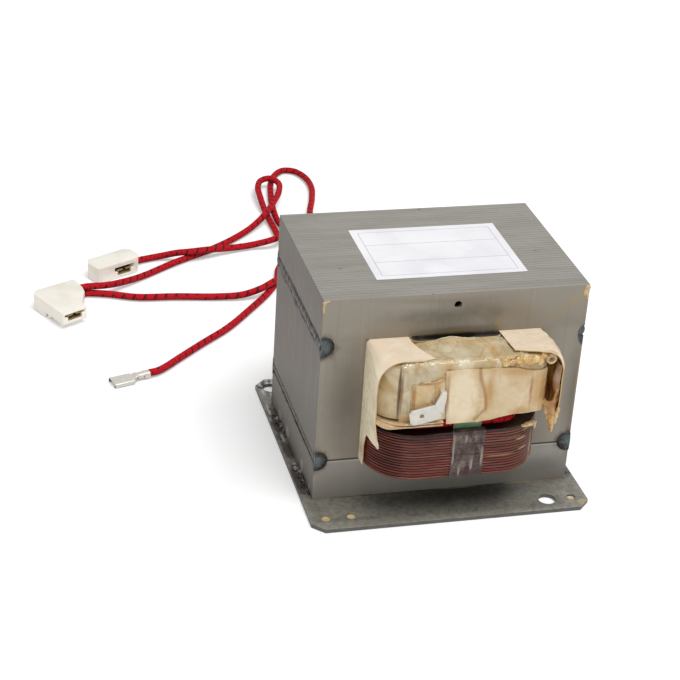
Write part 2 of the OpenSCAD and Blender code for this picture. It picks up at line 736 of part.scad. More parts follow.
// Room for a receptacle, open to the front of a housing, with a wider slot for the blade above it
module receptacle_room(at, depth, slot_h) {
    room = receptacle_w + 2 * slot_clearance;
    slot = receptacle_w + 3.8;
    lap = 0.6;
    translate(at + [-room / 2, -1, 0]) cube([room, depth + 1, receptacle_h + slot_clearance]);
    translate(at + [-slot / 2, -1, receptacle_h - lap]) cube([slot, depth + 1, slot_h]);
}

// Rolled receptacle with its mouth to the front, open along the middle of its top
module receptacle(length) {
    slit = 1.6;
    difference() {
        translate([-receptacle_w / 2, 0, 0]) cube([receptacle_w, length, receptacle_h]);
        translate([sheet_t - receptacle_w / 2, -1, sheet_t])
            cube([receptacle_w - 2 * sheet_t, length + 2, receptacle_h - 2 * sheet_t]);
        translate([-slit / 2, -1, receptacle_h / 2]) cube([slit, length + 2, receptacle_h]);
    }
}

receptacle_a_l = 9;
module housing_a() {
    color(nylon) translate(housing_a_at) rotate([0, 0, housing_turn]) difference() {
        linear_extrude(housing_h) polygon(housing_a_outline);
        receptacle_room(housing_a_slot, receptacle_a_l + 0.8, 2.2);
    }
}

module receptacle_a() {
    color("#b98a4a") translate(housing_a_at) rotate([0, 0, housing_turn])
        translate(housing_a_slot + [0, 0.4, 0]) receptacle(receptacle_a_l);
}

// Housing whose mouth is raised off the floor and stands on a peg
receptacle_b_l = 11;
module housing_b() {
    foot_y = 16;
    peg_r = 1.1;
    color(nylon) translate(housing_b_at) rotate([0, 0, housing_turn]) {
        difference() {
            linear_extrude(housing_h) polygon(housing_b_outline);
            translate([-1, -1, -1]) cube([30, foot_y + 1, housing_b_step + 1]);
            receptacle_room(housing_b_slot, receptacle_b_l + 0.8, 1.3);
        }
        translate([2.4, foot_y - 2.4, 0]) cylinder(r = peg_r, h = housing_b_step + 0.5, $fn = 24);
    }
}

module receptacle_b() {
    color("#b98a4a") translate(housing_b_at) rotate([0, 0, housing_turn])
        translate(housing_b_slot + [0, 0.5, 0]) receptacle(receptacle_b_l);
}

// Bare receptacle on the jumper lead: crimp barrel, neck and rolled mouth on one sheet
module spade_receptacle() {
    barrel_l = 5;
    neck_l = 2.5;
    mouth_l = 9.7;
    neck_w = 3.4;
    color(tinned) translate(spade_at) rotate([0, 0, spade_turn]) {
        translate([0, 0, barrel_z]) rotate([0, 90, 0]) cylinder(r = barrel_r, h = barrel_l, $fn = 32);
        translate([0, -neck_w / 2, 0]) cube([barrel_l + neck_l + 1, neck_w, sheet_t]);
        translate([barrel_l + neck_l + mouth_l, 0, 0]) rotate([0, 0, 90]) receptacle(mouth_l);
    }
}

e_core();
i_core();
base_plate();
upper_weld_left();
upper_weld_right();
seam_weld_left();
seam_weld_right();
plate_welds_left();
plate_welds_right();
primary_coil();
primary_former();
primary_tape();
secondary_coil();
secondary_former();
secondary_wrap();
secondary_collar();
front_card();
amber_patch();
left_slot_liner();
right_slot_liner();
rolled_paper_tube();
left_shunt();
right_shunt();
filament_winding();
winding_tape();
high_voltage_tab();
primary_card();
primary_tab_left();
primary_tab_right();
ground_strip();
ground_weld();
label();
lead_a();
lead_b();
jumper_lead();
housing_a();
receptacle_a();
housing_b();
receptacle_b();
spade_receptacle();
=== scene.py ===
"""High-voltage transformer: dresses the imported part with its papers, varnish, welds, leads and finishes."""

import math
import random

import bpy
from bpy.props import FloatProperty, FloatVectorProperty, IntProperty, PointerProperty
from mathutils import Matrix, Vector, noise


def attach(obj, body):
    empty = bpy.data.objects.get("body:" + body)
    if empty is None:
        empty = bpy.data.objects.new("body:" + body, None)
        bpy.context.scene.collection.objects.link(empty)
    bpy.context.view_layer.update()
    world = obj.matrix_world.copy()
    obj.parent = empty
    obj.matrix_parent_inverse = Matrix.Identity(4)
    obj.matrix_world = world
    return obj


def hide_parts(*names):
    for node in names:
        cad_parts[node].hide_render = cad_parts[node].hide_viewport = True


bl_info = {
    "name": "High-voltage transformer",
    "version": (1, 0, 0),
    "blender": (4, 5, 0),
    "location": "3D View > Sidebar > Transformer",
    "description": "Papers, windings, welds and leads around a packed transformer",
    "category": "Add Mesh",
}

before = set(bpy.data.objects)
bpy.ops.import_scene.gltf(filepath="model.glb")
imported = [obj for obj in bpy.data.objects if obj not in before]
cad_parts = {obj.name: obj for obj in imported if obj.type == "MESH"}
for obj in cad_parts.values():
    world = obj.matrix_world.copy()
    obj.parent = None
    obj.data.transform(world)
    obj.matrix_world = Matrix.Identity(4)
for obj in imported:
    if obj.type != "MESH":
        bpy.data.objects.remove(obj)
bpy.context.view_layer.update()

MM = 0.001
BODY = "root"

# Routes of the leads, in metres, as the part's source has them
LEAD_A = [
    (0.008, 0.058, 0.04085), (0.008, 0.064, 0.04085), (0.0087, 0.072, 0.036),
    (0.0093, 0.0765, 0.02), (0.0105, 0.082, 0.007), (0.012, 0.091, 0.0018), (0.015, 0.122, 0.0017),
    (0.012, 0.155, 0.0017), (0.007, 0.185, 0.0017), (0.0055, 0.207, 0.0017),
    (0.008, 0.2255, 0.0017), (0.013, 0.2425, 0.0017), (0.0163, 0.258, 0.0017),
    (0.0158, 0.2715, 0.0017), (0.0115, 0.2805, 0.0017), (0.006, 0.282, 0.0017),
    (0.001, 0.2775, 0.0017), (-0.004, 0.2665, 0.0017), (-0.0075, 0.2505, 0.0017),
    (-0.01, 0.233, 0.0017), (-0.0108, 0.217, 0.0018), (-0.0106, 0.207, 0.0034),
    (-0.012, 0.1975, 0.0051), (-0.0175, 0.1905, 0.0051), (-0.03, 0.19, 0.0024),
    (-0.044, 0.1864, 0.003), (-0.054, 0.1823, 0.0048), (-0.062, 0.1806, 0.0051),
    (-0.069, 0.1818, 0.0042), (-0.077, 0.1837, 0.002), (-0.08707, 0.18106, 0.0018),
    (-0.0906, 0.17918, 0.0018),
]
LEAD_B = [
    (-0.006, 0.058, 0.04415), (-0.006, 0.064, 0.04415), (-0.0067, 0.073, 0.038),
    (-0.007, 0.078, 0.02), (-0.0065, 0.083, 0.0075), (-0.004, 0.092, 0.0018),
    (-0.001, 0.118, 0.0017), (0.003, 0.148, 0.0017), (0.002, 0.171, 0.0017),
    (-0.007, 0.185, 0.0017), (-0.0136, 0.197, 0.0017), (-0.0145, 0.212, 0.0017),
    (-0.0148, 0.229, 0.0019), (-0.0148, 0.243, 0.0042), (-0.0138, 0.254, 0.0051),
    (-0.0105, 0.262, 0.0051), (-0.0055, 0.2645, 0.0051), (-0.002, 0.2585, 0.0051),
    (-0.0038, 0.2475, 0.0051), (-0.0103, 0.2325, 0.0051), (-0.0172, 0.2192, 0.0051),
    (-0.026, 0.21, 0.0026), (-0.038, 0.199, 0.0017), (-0.052, 0.188, 0.0017),
    (-0.07, 0.177, 0.0017), (-0.088, 0.164, 0.0017), (-0.098, 0.1565, 0.003),
    (-0.1075, 0.1502, 0.0048), (-0.1169, 0.14931, 0.0051), (-0.12071, 0.14808, 0.0051),
]
JUMPER = [
    (-0.12071, 0.14808, 0.0017), (-0.1169, 0.14931, 0.0017), (-0.107, 0.1472, 0.0017),
    (-0.094, 0.1423, 0.0017), (-0.076, 0.1406, 0.0017), (-0.057, 0.138, 0.0017),
    (-0.045, 0.1369, 0.0025), (-0.036, 0.138, 0.0046), (-0.028, 0.144, 0.0051),
    (-0.019, 0.1505, 0.0036), (-0.009, 0.1545, 0.0018), (-0.0035, 0.1615, 0.0017),
    (-0.006, 0.1695, 0.0017), (-0.014, 0.172, 0.0017), (-0.021, 0.1655, 0.0017),
    (-0.026, 0.15, 0.0017), (-0.033, 0.138, 0.0017), (-0.044, 0.1235, 0.0017),
    (-0.058, 0.1065, 0.0017), (-0.072, 0.0935, 0.0017), (-0.085, 0.081, 0.0017),
    (-0.0915, 0.0745, 0.0018), (-0.09567, 0.07115, 0.002), (-0.0995, 0.07, 0.002),
]

# Heights and faces that several pieces share, in millimetres
SEAM_Z, WELD_Z = 18.95, 68.65
CORE_FRONT, CORE_BACK, CORE_DEPTH, CORE_SIDE = -37.0, 39.0, 76.0, 52.0
COIL_FRONT = -56.45
YOKE_Z, BAR_Z = 70.72, 19.18
LABEL_X, LABEL_Y = 1.75, -1.1
TURNS_LOW, TURN_PITCH = 19.4, 19.8 / 17
WELD_ENDS = [(s, y, z) for s in (-1, 1) for y in (CORE_FRONT, CORE_BACK) for z in (WELD_Z, SEAM_Z)]
WORN_END = (1, CORE_FRONT, WELD_Z)
BLOB_X = 51.2

# The fitted camera: its place, its turns in degrees, and its lens in pixels of the picture
CAMERA_AT, CAMERA_TURNS = (-205.225, -608.891, 389.755), (-15.501, 28.132, 3.673)
PICTURE, LENS, CENTRE_X, CENTRE_Y, SENSOR = 680, 1817.84, 335.77, 337.98, 36

# The two housings: each one's place, its slot's middle in it, and the height and reach up of the slot's shade
HOUSING_TURN = math.radians(28)
SLOTS = (((-103, 159.9), (9.9, 4.2), 4.4, 2.9), ((-131.1, 116.5), (7.2, 1), 5.2, 2.0))

# Where the bare receptacle lies, its way and the way across it
SPADE_TURN = math.radians(196.7)
SPADE_AT = Vector((-99.5, 70.0, 0.0))
SPADE_AHEAD = Vector((math.cos(SPADE_TURN), math.sin(SPADE_TURN), 0))
SPADE_ACROSS = Vector((-math.sin(SPADE_TURN), math.cos(SPADE_TURN), 0))

MATERIALS = {}


def paint(code):
    """Linear colour of a #rrggbb code."""
    parts = [int(code[i : i + 2], 16) / 255 for i in (1, 3, 5)]
    return tuple(c / 12.92 if c <= 0.04045 else ((c + 0.055) / 1.055) ** 2.4 for c in parts)


def colour_prop(name, code, words):
    return FloatVectorProperty(
        name=name, description=words, subtype="COLOR", size=3, min=0, max=1, default=paint(code)
    )


def length_prop(name, value, words):
    return FloatProperty(name=name, description=words, unit="LENGTH", min=0, default=value * MM)


class TransformerSizes(bpy.types.PropertyGroup):
    """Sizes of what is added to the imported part"""

    sleeve_d: length_prop("Sleeve diameter", 3.2, "Outer diameter of the braided sleeves")
    paper_t: length_prop("Paper thickness", 0.4, "Thickness of the window liners")
    wrap_t: length_prop("Wrap thickness", 0.3, "Thickness of the paper around the secondary coil")
    card_t: length_prop("Card thickness", 0.5, "Thickness of the front card and the collar")
    bead_r: length_prop("Weld bead radius", 2.1, "Radius of the weld beads along the core")
    edge: length_prop("Moulded edge", 0.4, "Rounding of the white housings' edges")
    burr: length_prop("Sheet edge", 0.12, "Rounding of punched sheet metal edges")
    stray_turns: IntProperty(
        name="Proud turns", description="Turns of the primary coil that stand proud", default=7, min=0, max=17
    )


class TransformerColours(bpy.types.PropertyGroup):
    """Colours of the transformer's materials"""

    steel: colour_prop("Core top", "#9d9a93", "Sheet edges on the core's top")
    # The sides are the same sheet edges as the top, painted darker as painted shade
    steel_sides_shaded: colour_prop("Core sides", "#716b65", "Sheet edges on the core's sides")
    steel_front: colour_prop("Core front", "#8f887c", "Outer sheet on the core's front")
    plate: colour_prop("Base plate", "#949187", "Base plate's dull scale")
    burnt: colour_prop("Burnt steel", "#3a3230", "Scale around the welds")
    weld: colour_prop("Weld metal", "#4d5453", "Blue-grey weld metal")
    cream: colour_prop("Cream paper", "#dfccb2", "Paper that lines the windows")
    red: colour_prop("Sleeve red", "#cb1420", "Braided sleeves of the leads")
    fleck: colour_prop("Tracer thread", "#2c1218", "Dark thread in the braid")
    green: colour_prop("Green tape", "#5f8f6c", "Tape around the filament winding")
    tin: colour_prop("Tinned steel", "#d6d2c8", "Tabs and bare receptacle")
    brass: colour_prop("Brass", "#b59c74", "Receptacles in the housings")
    nylon: colour_prop("Nylon", "#f0ece2", "White housings")
    label: colour_prop("Label", "#eeedf0", "Bare label on the top")


# --- Shader helpers


def toned(colour):
    """Four channels of a #rrggbb code or of three linear numbers; a socket stays what it is."""
    if isinstance(colour, bpy.types.NodeSocket):
        return colour
    return (*(paint(colour) if isinstance(colour, str) else colour), 1)


def spaced(inputs):
    """Inputs whose names are written with underscores, under the names of their sockets."""
    return {key.replace("_", " "): value for key, value in inputs.items()}


class Net:
    """Adds and links the nodes of one world, material or node group."""

    def __init__(self, tree):
        self.tree = tree

    def feed(self, node, inputs):
        for key, value in dict(inputs).items():
            if isinstance(value, bpy.types.NodeSocket):
                self.tree.links.new(value, node.inputs[key])
            else:
                node.inputs[key].default_value = value

    def add(self, kind, inputs=(), **settings):
        node = self.tree.nodes.new("ShaderNode" + kind)
        for key, value in settings.items():
            setattr(node, key, value)
        self.feed(node, inputs)
        return node

    def math(self, operation, *values):
        return self.add("Math", enumerate(values), operation=operation).outputs[0]

    def chain(self, operation, first, *rest):
        for value in rest:
            first = self.math(operation, first, value)
        return first

    def times(self, *values):
        return self.chain("MULTIPLY", *values)

    def plus(self, *values):
        return self.chain("ADD", *values)

    def highest(self, *values):
        return self.chain("MAXIMUM", *values)

    def less(self, value, other):
        return self.math("SUBTRACT", value, other)

    def off(self, value, middle=0.0):
        """How far a value is from a middle one."""
        return self.math("ABSOLUTE", self.less(value, middle))

    def vector(self, operation, *values):
        return self.add("VectorMath", enumerate(values), operation=operation).outputs[0]

    def mix(self, factor, a, b):
        return self.add("Mix", {0: factor, 6: toned(a), 7: toned(b)}, data_type="RGBA").outputs[2]

    def blend(self, factor, a, b):
        return self.add("Mix", {0: factor, 2: a, 3: b}, data_type="FLOAT").outputs[0]

    def span(self, value, low, high, out_low=0.0, out_high=1.0):
        """Value mapped from low..high to the output range, held at its ends and eased."""
        inputs = {0: value, 1: low, 2: high, 3: out_low, 4: out_high}
        return self.add("MapRange", inputs, interpolation_type="SMOOTHSTEP").outputs[0]

    def noise(self, scale, detail=3.0, rough=0.5, distortion=0.0, at=None):
        """Noise with so many changes a metre; three numbers stretch it along the axes."""
        at = self.point if at is None else at
        if isinstance(scale, tuple):
            at, scale = self.vector("MULTIPLY", at, scale), 1.0
        inputs = {"Vector": at, "Scale": scale, "Detail": detail, "Roughness": rough, "Distortion": distortion}
        return self.add("TexNoise", inputs).outputs["Fac"]

    def group(self, name, **inputs):
        return self.add("Group", spaced(inputs), node_tree=bpy.data.node_groups[name]).outputs

    def parts(self, vector):
        return self.add("SeparateXYZ", {0: vector}).outputs


class Group(Net):
    """A node group in the making, with named sockets: decimals are floats, the rest are vectors."""

    def __init__(self, name, **inputs):
        super().__init__(bpy.data.node_groups.new(name, "ShaderNodeTree"))
        for label, value in spaced(inputs).items():
            kind = "NodeSocketFloat" if isinstance(value, float) else "NodeSocketVector"
            socket = self.tree.interface.new_socket(label, in_out="INPUT", socket_type=kind)
            if value is not None:
                socket.default_value = value
        self.given = self.tree.nodes.new("NodeGroupInput").outputs
        self.point = self.given[0]

    def give(self, **outputs):
        for label in outputs:
            self.tree.interface.new_socket(label, in_out="OUTPUT", socket_type="NodeSocketFloat")
        self.feed(self.tree.nodes.new("NodeGroupOutput"), outputs)


class Finish(Net):
    """A material in the making, whose colour is laid on in coats."""

    def __init__(self, key, name, under):
        MATERIALS[key] = material = bpy.data.materials.new(name)
        material.use_nodes = True
        material.node_tree.nodes.clear()
        super().__init__(material.node_tree)
        where = self.add("TexCoord").outputs
        self.point, self.uv = where["Object"], where["UV"]
        self.x, self.y, self.z = self.parts(self.point)
        self.side, self.fore, self.up = self.parts(self.add("NewGeometry").outputs["Normal"])
        self.colour = under

    def coat(self, tone, mask, low=None, high=None, share=1.0):
        """Lays a tone over the colour by a mask, or by a value's span from low to high, up to its share."""
        if low is not None:
            mask = self.span(mask, low, high, 0.0, share)
        elif share != 1.0:
            mask = self.times(mask, share)
        self.colour = self.mix(mask, self.colour, tone)

    def spots(self, places):
        """Joined mask of ragged spots: x, y, z, half sizes along them in millimetres, raggedness, softness."""
        return self.highest(*(
            self.group("Ragged spot", Point=self.point, Centre=[c * MM for c in place[:3]],
                       Reach=[c * MM for c in place[3:6]], Ragged=place[6], Soft=place[7])["Mask"]
            for place in places
        ))

    def patch(self, tone, share, *places):
        self.coat(tone, self.times(self.spots(places), share))

    def finish(self, rough, height=None, bump=0.2, depth=0.0005, **constants):
        """The material's own shader, with the pattern's colour, roughness and relief."""
        inputs = {"Base Color": self.colour, "Roughness": rough, **spaced(constants)}
        if height is not None:
            relief = self.add("Bump", {"Strength": bump, "Distance": depth, "Height": height})
            inputs["Normal"] = relief.outputs[0]
        self.add("OutputMaterial", {0: self.add("BsdfPrincipled", inputs).outputs[0]})


def make_groups():
    """Node groups that several finishes share."""
    # Ragged spot of varnish or scorch: place and half sizes in metres
    net = Group("Ragged spot", Point=None, Centre=None, Reach=(0.01, 0.01, 0.01), Ragged=0.5, Soft=0.4)
    point, centre, reach, ragged, soft = net.given[:5]
    away = net.vector("DIVIDE", net.vector("SUBTRACT", point, centre), reach)
    far = net.add("VectorMath", {0: away}, operation="LENGTH").outputs["Value"]
    rough = net.less(net.noise(160, 4, 0.6), 0.5)
    edge = net.plus(far, net.times(rough, ragged, 2))
    net.give(Mask=net.span(edge, net.less(1.0, soft), 1.0, 1.0, 0.0))

    # Fine edges of the stacked sheets: streaks along X and Z that change quickly along Y
    net = Group("Sheet edges", Point=None)
    stretched = net.vector("MULTIPLY", net.point, (90, 160, 90))
    cells = net.add("TexVoronoi", {"Vector": stretched, "Scale": 1.0}).outputs["Distance"]
    speck = net.times(net.span(cells, 0.1, 0.04), net.span(net.noise(75, 1), 0.52, 0.6))
    net.give(Streak=net.noise((26, 1900, 26), 2, 0.6), Band=net.noise((34, 170, 9), 2, 0.5), Speck=speck)

    # Fibres and soft cockle of paper
    net = Group("Paper fibre", Point=None, Cockle=1.0)
    fibre, cloud = net.noise((2600, 2600, 910), 3, 0.7), net.noise(120, 4, 0.6, 0.6)
    crease = net.add("TexVoronoi", {"Vector": net.point, "Scale": 95.0}, feature="DISTANCE_TO_EDGE")
    fold = net.span(crease.outputs["Distance"], 0.0, 0.12)
    cockle = net.times(net.given["Cockle"], net.plus(net.times(fold, 0.5), cloud))
    net.give(Fibre=fibre, Cloud=cloud, Height=net.plus(net.times(fibre, 0.12), cockle))

    # Varnish that has soaked in and run down: stain, thick wet patches and their relief
    net = Group("Varnish run", Point=None, Amount=0.5)
    runs, pools = net.noise((210, 210, 60), 4, 0.62, 0.8), net.noise(190, 3, 0.5, 1.2)
    low = net.less(0.78, net.times(net.given["Amount"], 0.4))
    net.give(Stain=net.span(runs, low, net.plus(low, 0.2)), Wet=net.span(pools, 0.42, 0.62), Height=pools)

    # Braided sleeve on a UV map of turns and metres: yarn relief and the two tracer threads
    net = Group("Braided sleeve", Turn_and_length=None)
    turn, along, _ = net.parts(net.point)
    mm = net.times(along, 1000.0)
    masks, yarns = [], []
    for sign, offset, wide, windows in ((1.0, 0.0, 0.1, 2.0), (-1.0, 0.3, 0.035, 3.0)):
        lane = net.plus(net.times(mm, sign / 4.8), turn, offset)
        line = net.span(net.off(net.math("FRACT", lane), 0.5), wide + 0.03, wide - 0.03)
        pick = net.plus(net.times(turn, windows), net.times(mm, 0.021))
        masks.append(net.times(line, net.span(net.off(net.math("FRACT", pick), 0.5), 0.38, 0.28)))
        yarns.append(net.math("SINE", net.plus(net.times(turn, 75.4), net.times(mm, 7.5 * sign))))
    net.give(Tracer=net.highest(*masks), Yarn=net.plus(0.5, net.times(0.25, net.plus(*yarns))))

    # Scuffs and fine grain of plated or bare sheet metal
    net = Group("Metal grain", Point=None, Scale=1.0)
    stretch = net.add("CombineXYZ", {0: net.times(net.given["Scale"], 3200.0), 1: 240.0, 2: 900.0})
    grain = net.noise(1.0, 2, at=net.vector("MULTIPLY", net.point, stretch.outputs[0]))
    net.give(Grain=grain, Scuff=net.noise(420, 5, 0.7))


def spade_place(x, side, z):
    """Point on the bare receptacle in millimetres: along it from its crimp, across it and up."""
    return SPADE_AT + SPADE_AHEAD * x + SPADE_ACROSS * side + Vector((0, 0, z))


def slot_places(depth, reach):
    """Spots in the two housings' slots, at a depth behind their front face."""
    cos, sin = math.cos(HOUSING_TURN), math.sin(HOUSING_TURN)
    for at, (x, y), z, high in SLOTS:
        for k in (-2.8, 0.0, 2.8):
            a, b = x + k, y + depth
            yield at[0] + a * cos - b * sin, at[1] + a * sin + b * cos, z, reach, reach, high, 0.0, 0.25


def core_steel(colours):
    """Sheet steel of the core: sheet edges on its top and sides, brushed sheet on its front and back."""
    net = Finish("core", "core sheet steel", colours.steel_sides_shaded)
    edges = net.group("Sheet edges", Point=net.point)
    top = net.span(net.up, 0.5, 0.9)
    flat = net.span(net.off(net.fore), 0.5, 0.9)
    fore = net.span(net.fore, -0.5, -0.9)
    fine = net.blend(flat, edges["Streak"], net.noise((620, 1, 11), 3, 0.6))
    # Lighter tone on the top, darker on the sides: painted light and shade on one sheet-edge finish
    net.coat(colours.steel, top)
    net.coat(colours.steel_front, fore)
    net.coat("#bab7ae", fine, 0.56, 0.74, net.blend(flat, 0.28, 0.12))
    net.coat("#5e5a53", fine, 0.46, 0.3, net.blend(flat, 0.26, 0.12))
    net.coat("#66625a", edges["Band"], 0.35, 0.75, net.blend(flat, 0.22, 0.05))
    # Darker patches on the front face, the one left of the coil being painted shade
    net.patch("#4a453b", net.times(fore, 0.6), (-42, -37, 44, 13, 6, 33, 0.2, 1.0), (-4, -37, 79, 30, 6, 6, 0.4, 1.0),
              (42, -37, 9, 30, 6, 8, 0.3, 1.0), (52, -37, 40, 8, 6, 40, 0.2, 1.0))
    # Paler patches on the front face: painted light, the low ones lifting the coil's shadow on the bar
    net.patch("#a39d90", net.times(fore, 0.25), (0, -37, 12, 30, 6, 7, 0.3, 1.0), (-20, -37, 8, 18, 6, 6, 0.3, 1.0),
              (-40, -37, 74, 12, 6, 5, 0.5, 1.0), (-46, -37, 20, 8, 6, 5, 0.4, 1.0))
    # Painted shade, and a near-black painted shadow in the gap, on the front just above the coil's wrap
    net.patch("#3b3229", 0.6, (2, -37, 71.6, 23, 3, 3.6, 0.3, 1.0))
    net.patch("#120d09", 0.92, (0, -37, 70.2, 26, 2.4, 1.7, 0.5, 0.6))
    net.patch("#a08a5c", 0.42, (50.2, -37, 84.5, 2.6, 3, 4.5, 0.8, 0.8), (46.5, -37, 81.6, 4.6, 3, 2.4, 0.7, 0.9),
              (42.5, -37, 78.2, 4.4, 3, 2.2, 0.7, 0.9), (38.0, -37, 75.0, 4.6, 3, 2.2, 0.7, 0.9),
              (0, -37, 72.0, 32, 3, 1.3, 0.6, 0.8), (-51.6, -37.2, 80, 0.6, 1.2, 9, 0.5, 0.6),
              (51.6, -37.2, 50, 0.5, 1.2, 36, 0.5, 0.6), (17, -37, 74.5, 2.5, 3, 3, 0.8, 0.8))
    # Scorched around the weld blobs, and a dark blue-grey patch where the worn one was
    net.patch("#3a2a20", 0.85, *((end[0] * 51.0, end[1], end[2], 6.6, 3.4, 6.6, 0.7, 0.55)
                                 for end in WELD_ENDS if end != WORN_END))
    net.patch("#33383b", 0.9, (52.0, -37, 67.0, 2.6, 3, 5.6, 0.4, 0.3))
    net.patch("#b7b3ab", 0.6, (-52, -18, 5.5, 1.5, 2.6, 3.2, 1.0, 0.5), (-52, -31, 4.4, 1.5, 1.5, 2.4, 1.0, 0.5),
              (-52, 8, 5.5, 1.5, 4.0, 2.6, 1.0, 0.5), (-52, 22, 5.0, 1.5, 2.5, 2.2, 1.0, 0.5))
    net.patch("#7d6650", 0.5, (-52, 8, 21.6, 1.5, 38, 0.5, 0.4, 0.6), (-52, 0, 16.2, 1.5, 40, 0.35, 0.4, 0.6))
    # Dark along the weld grooves on both sides: scorch, and painted shade in the notch
    net.patch("#373230", 0.86, *((s * 51.6, 1, z, 2.6, 60, high, ragged, 0.35) for s in (-1, 1)
                                 for z, high, ragged in ((WELD_Z, 3.7, 0.9), (SEAM_Z, 2.5, 0.5))))
    seam = net.less(net.z, SEAM_Z * MM)
    net.coat("#8b8b89", net.times(fore, net.span(seam, 0.0, -0.0005, 0.0, 0.4)))
    # Dark joint along the seam, and just below it a pale line of painted highlight on the sheet's edge
    net.coat("#1f1b18", net.times(flat, net.span(net.off(seam), 0.0005, 0.00025), 0.9))
    net.coat("#b9b5aa", net.times(flat, net.span(net.off(seam, -0.0007), 0.0004, 0.0001), 0.4))
    net.coat("#3c3936", edges["Speck"], share=0.6)
    net.finish(net.blend(top, 0.5, net.span(edges["Band"], 0.2, 0.8, 0.4, 0.5)), fine, 0.1, 0.0002, Metallic=0.3)


def paper(key, name, base, stain, amount, cockle, wet_rough, dry_rough, bump, depth=0.45, upright_shading=None, inner=None,
          layers=(), veins=None, rim=None):
    """Paper whose varnish has soaked in. upright tints its standing faces by which way they face, painted light on
    the window liner;
    inner tints its faces to the left dark brown with gold streaks, partly soaked varnish, partly painted shade and
    painted highlight;
    and layers hold more patches, each as colour, strength and spots. veins are wandering lines of
    varnish (colour, strength, changes a metre across and along), and rim tints the cut front edge."""
    net = Finish(key, name, base)
    fibre = net.group("Paper fibre", Point=net.point, Cockle=cockle)
    runs = net.group("Varnish run", Point=net.point, Amount=amount)
    # Standing faces tinted by which way they face: painted light on the window liner
    if upright_shading:
        net.coat(upright_shading, net.off(net.up), 0.7, 0.2)
    net.coat(net.mix(0.35, net.colour, "#f0e6d2"), fibre["Cloud"], 0.35, 0.7)
    net.coat(stain, fibre["Fibre"], 0.58, 0.72, 0.1)
    net.coat(stain, runs["Stain"], share=depth)
    for layer in layers:
        net.patch(*layer)
    if veins:
        tone, level, across, along = veins
        shown = net.span(net.noise(90, 2), 0.4, 0.58)
        for seed, share in ((0.0, 1.0), (0.7, 0.6)):
            moved = net.vector("ADD", net.point, (seed, seed, seed))
            wander = net.noise((across, across, along), 3, 0.5, 0.6, at=moved)
            net.coat(tone, net.times(net.span(net.off(wander, 0.5), 0.045, 0.0), shown, level * share))
    # Faces to the left: dark brown, partly soaked varnish and partly painted shade, with gold streaks of painted
    # highlight
    if inner:
        streak = net.noise((150, 330, 45), 3, 0.6, 0.5)
        net.coat(net.mix(net.span(streak, 0.4, 0.66), inner, "#d39a4a"), net.side, -0.2, -0.6)
    if rim:
        net.coat(rim, net.fore, -0.75, -0.95, 0.8)
    height = net.plus(net.times(fibre["Height"], cockle + 0.1), net.times(runs["Height"], cockle))
    net.finish(net.blend(runs["Wet"], dry_rough, wet_rough), height, bump, Coat_Weight=net.times(runs["Wet"], 0.45))


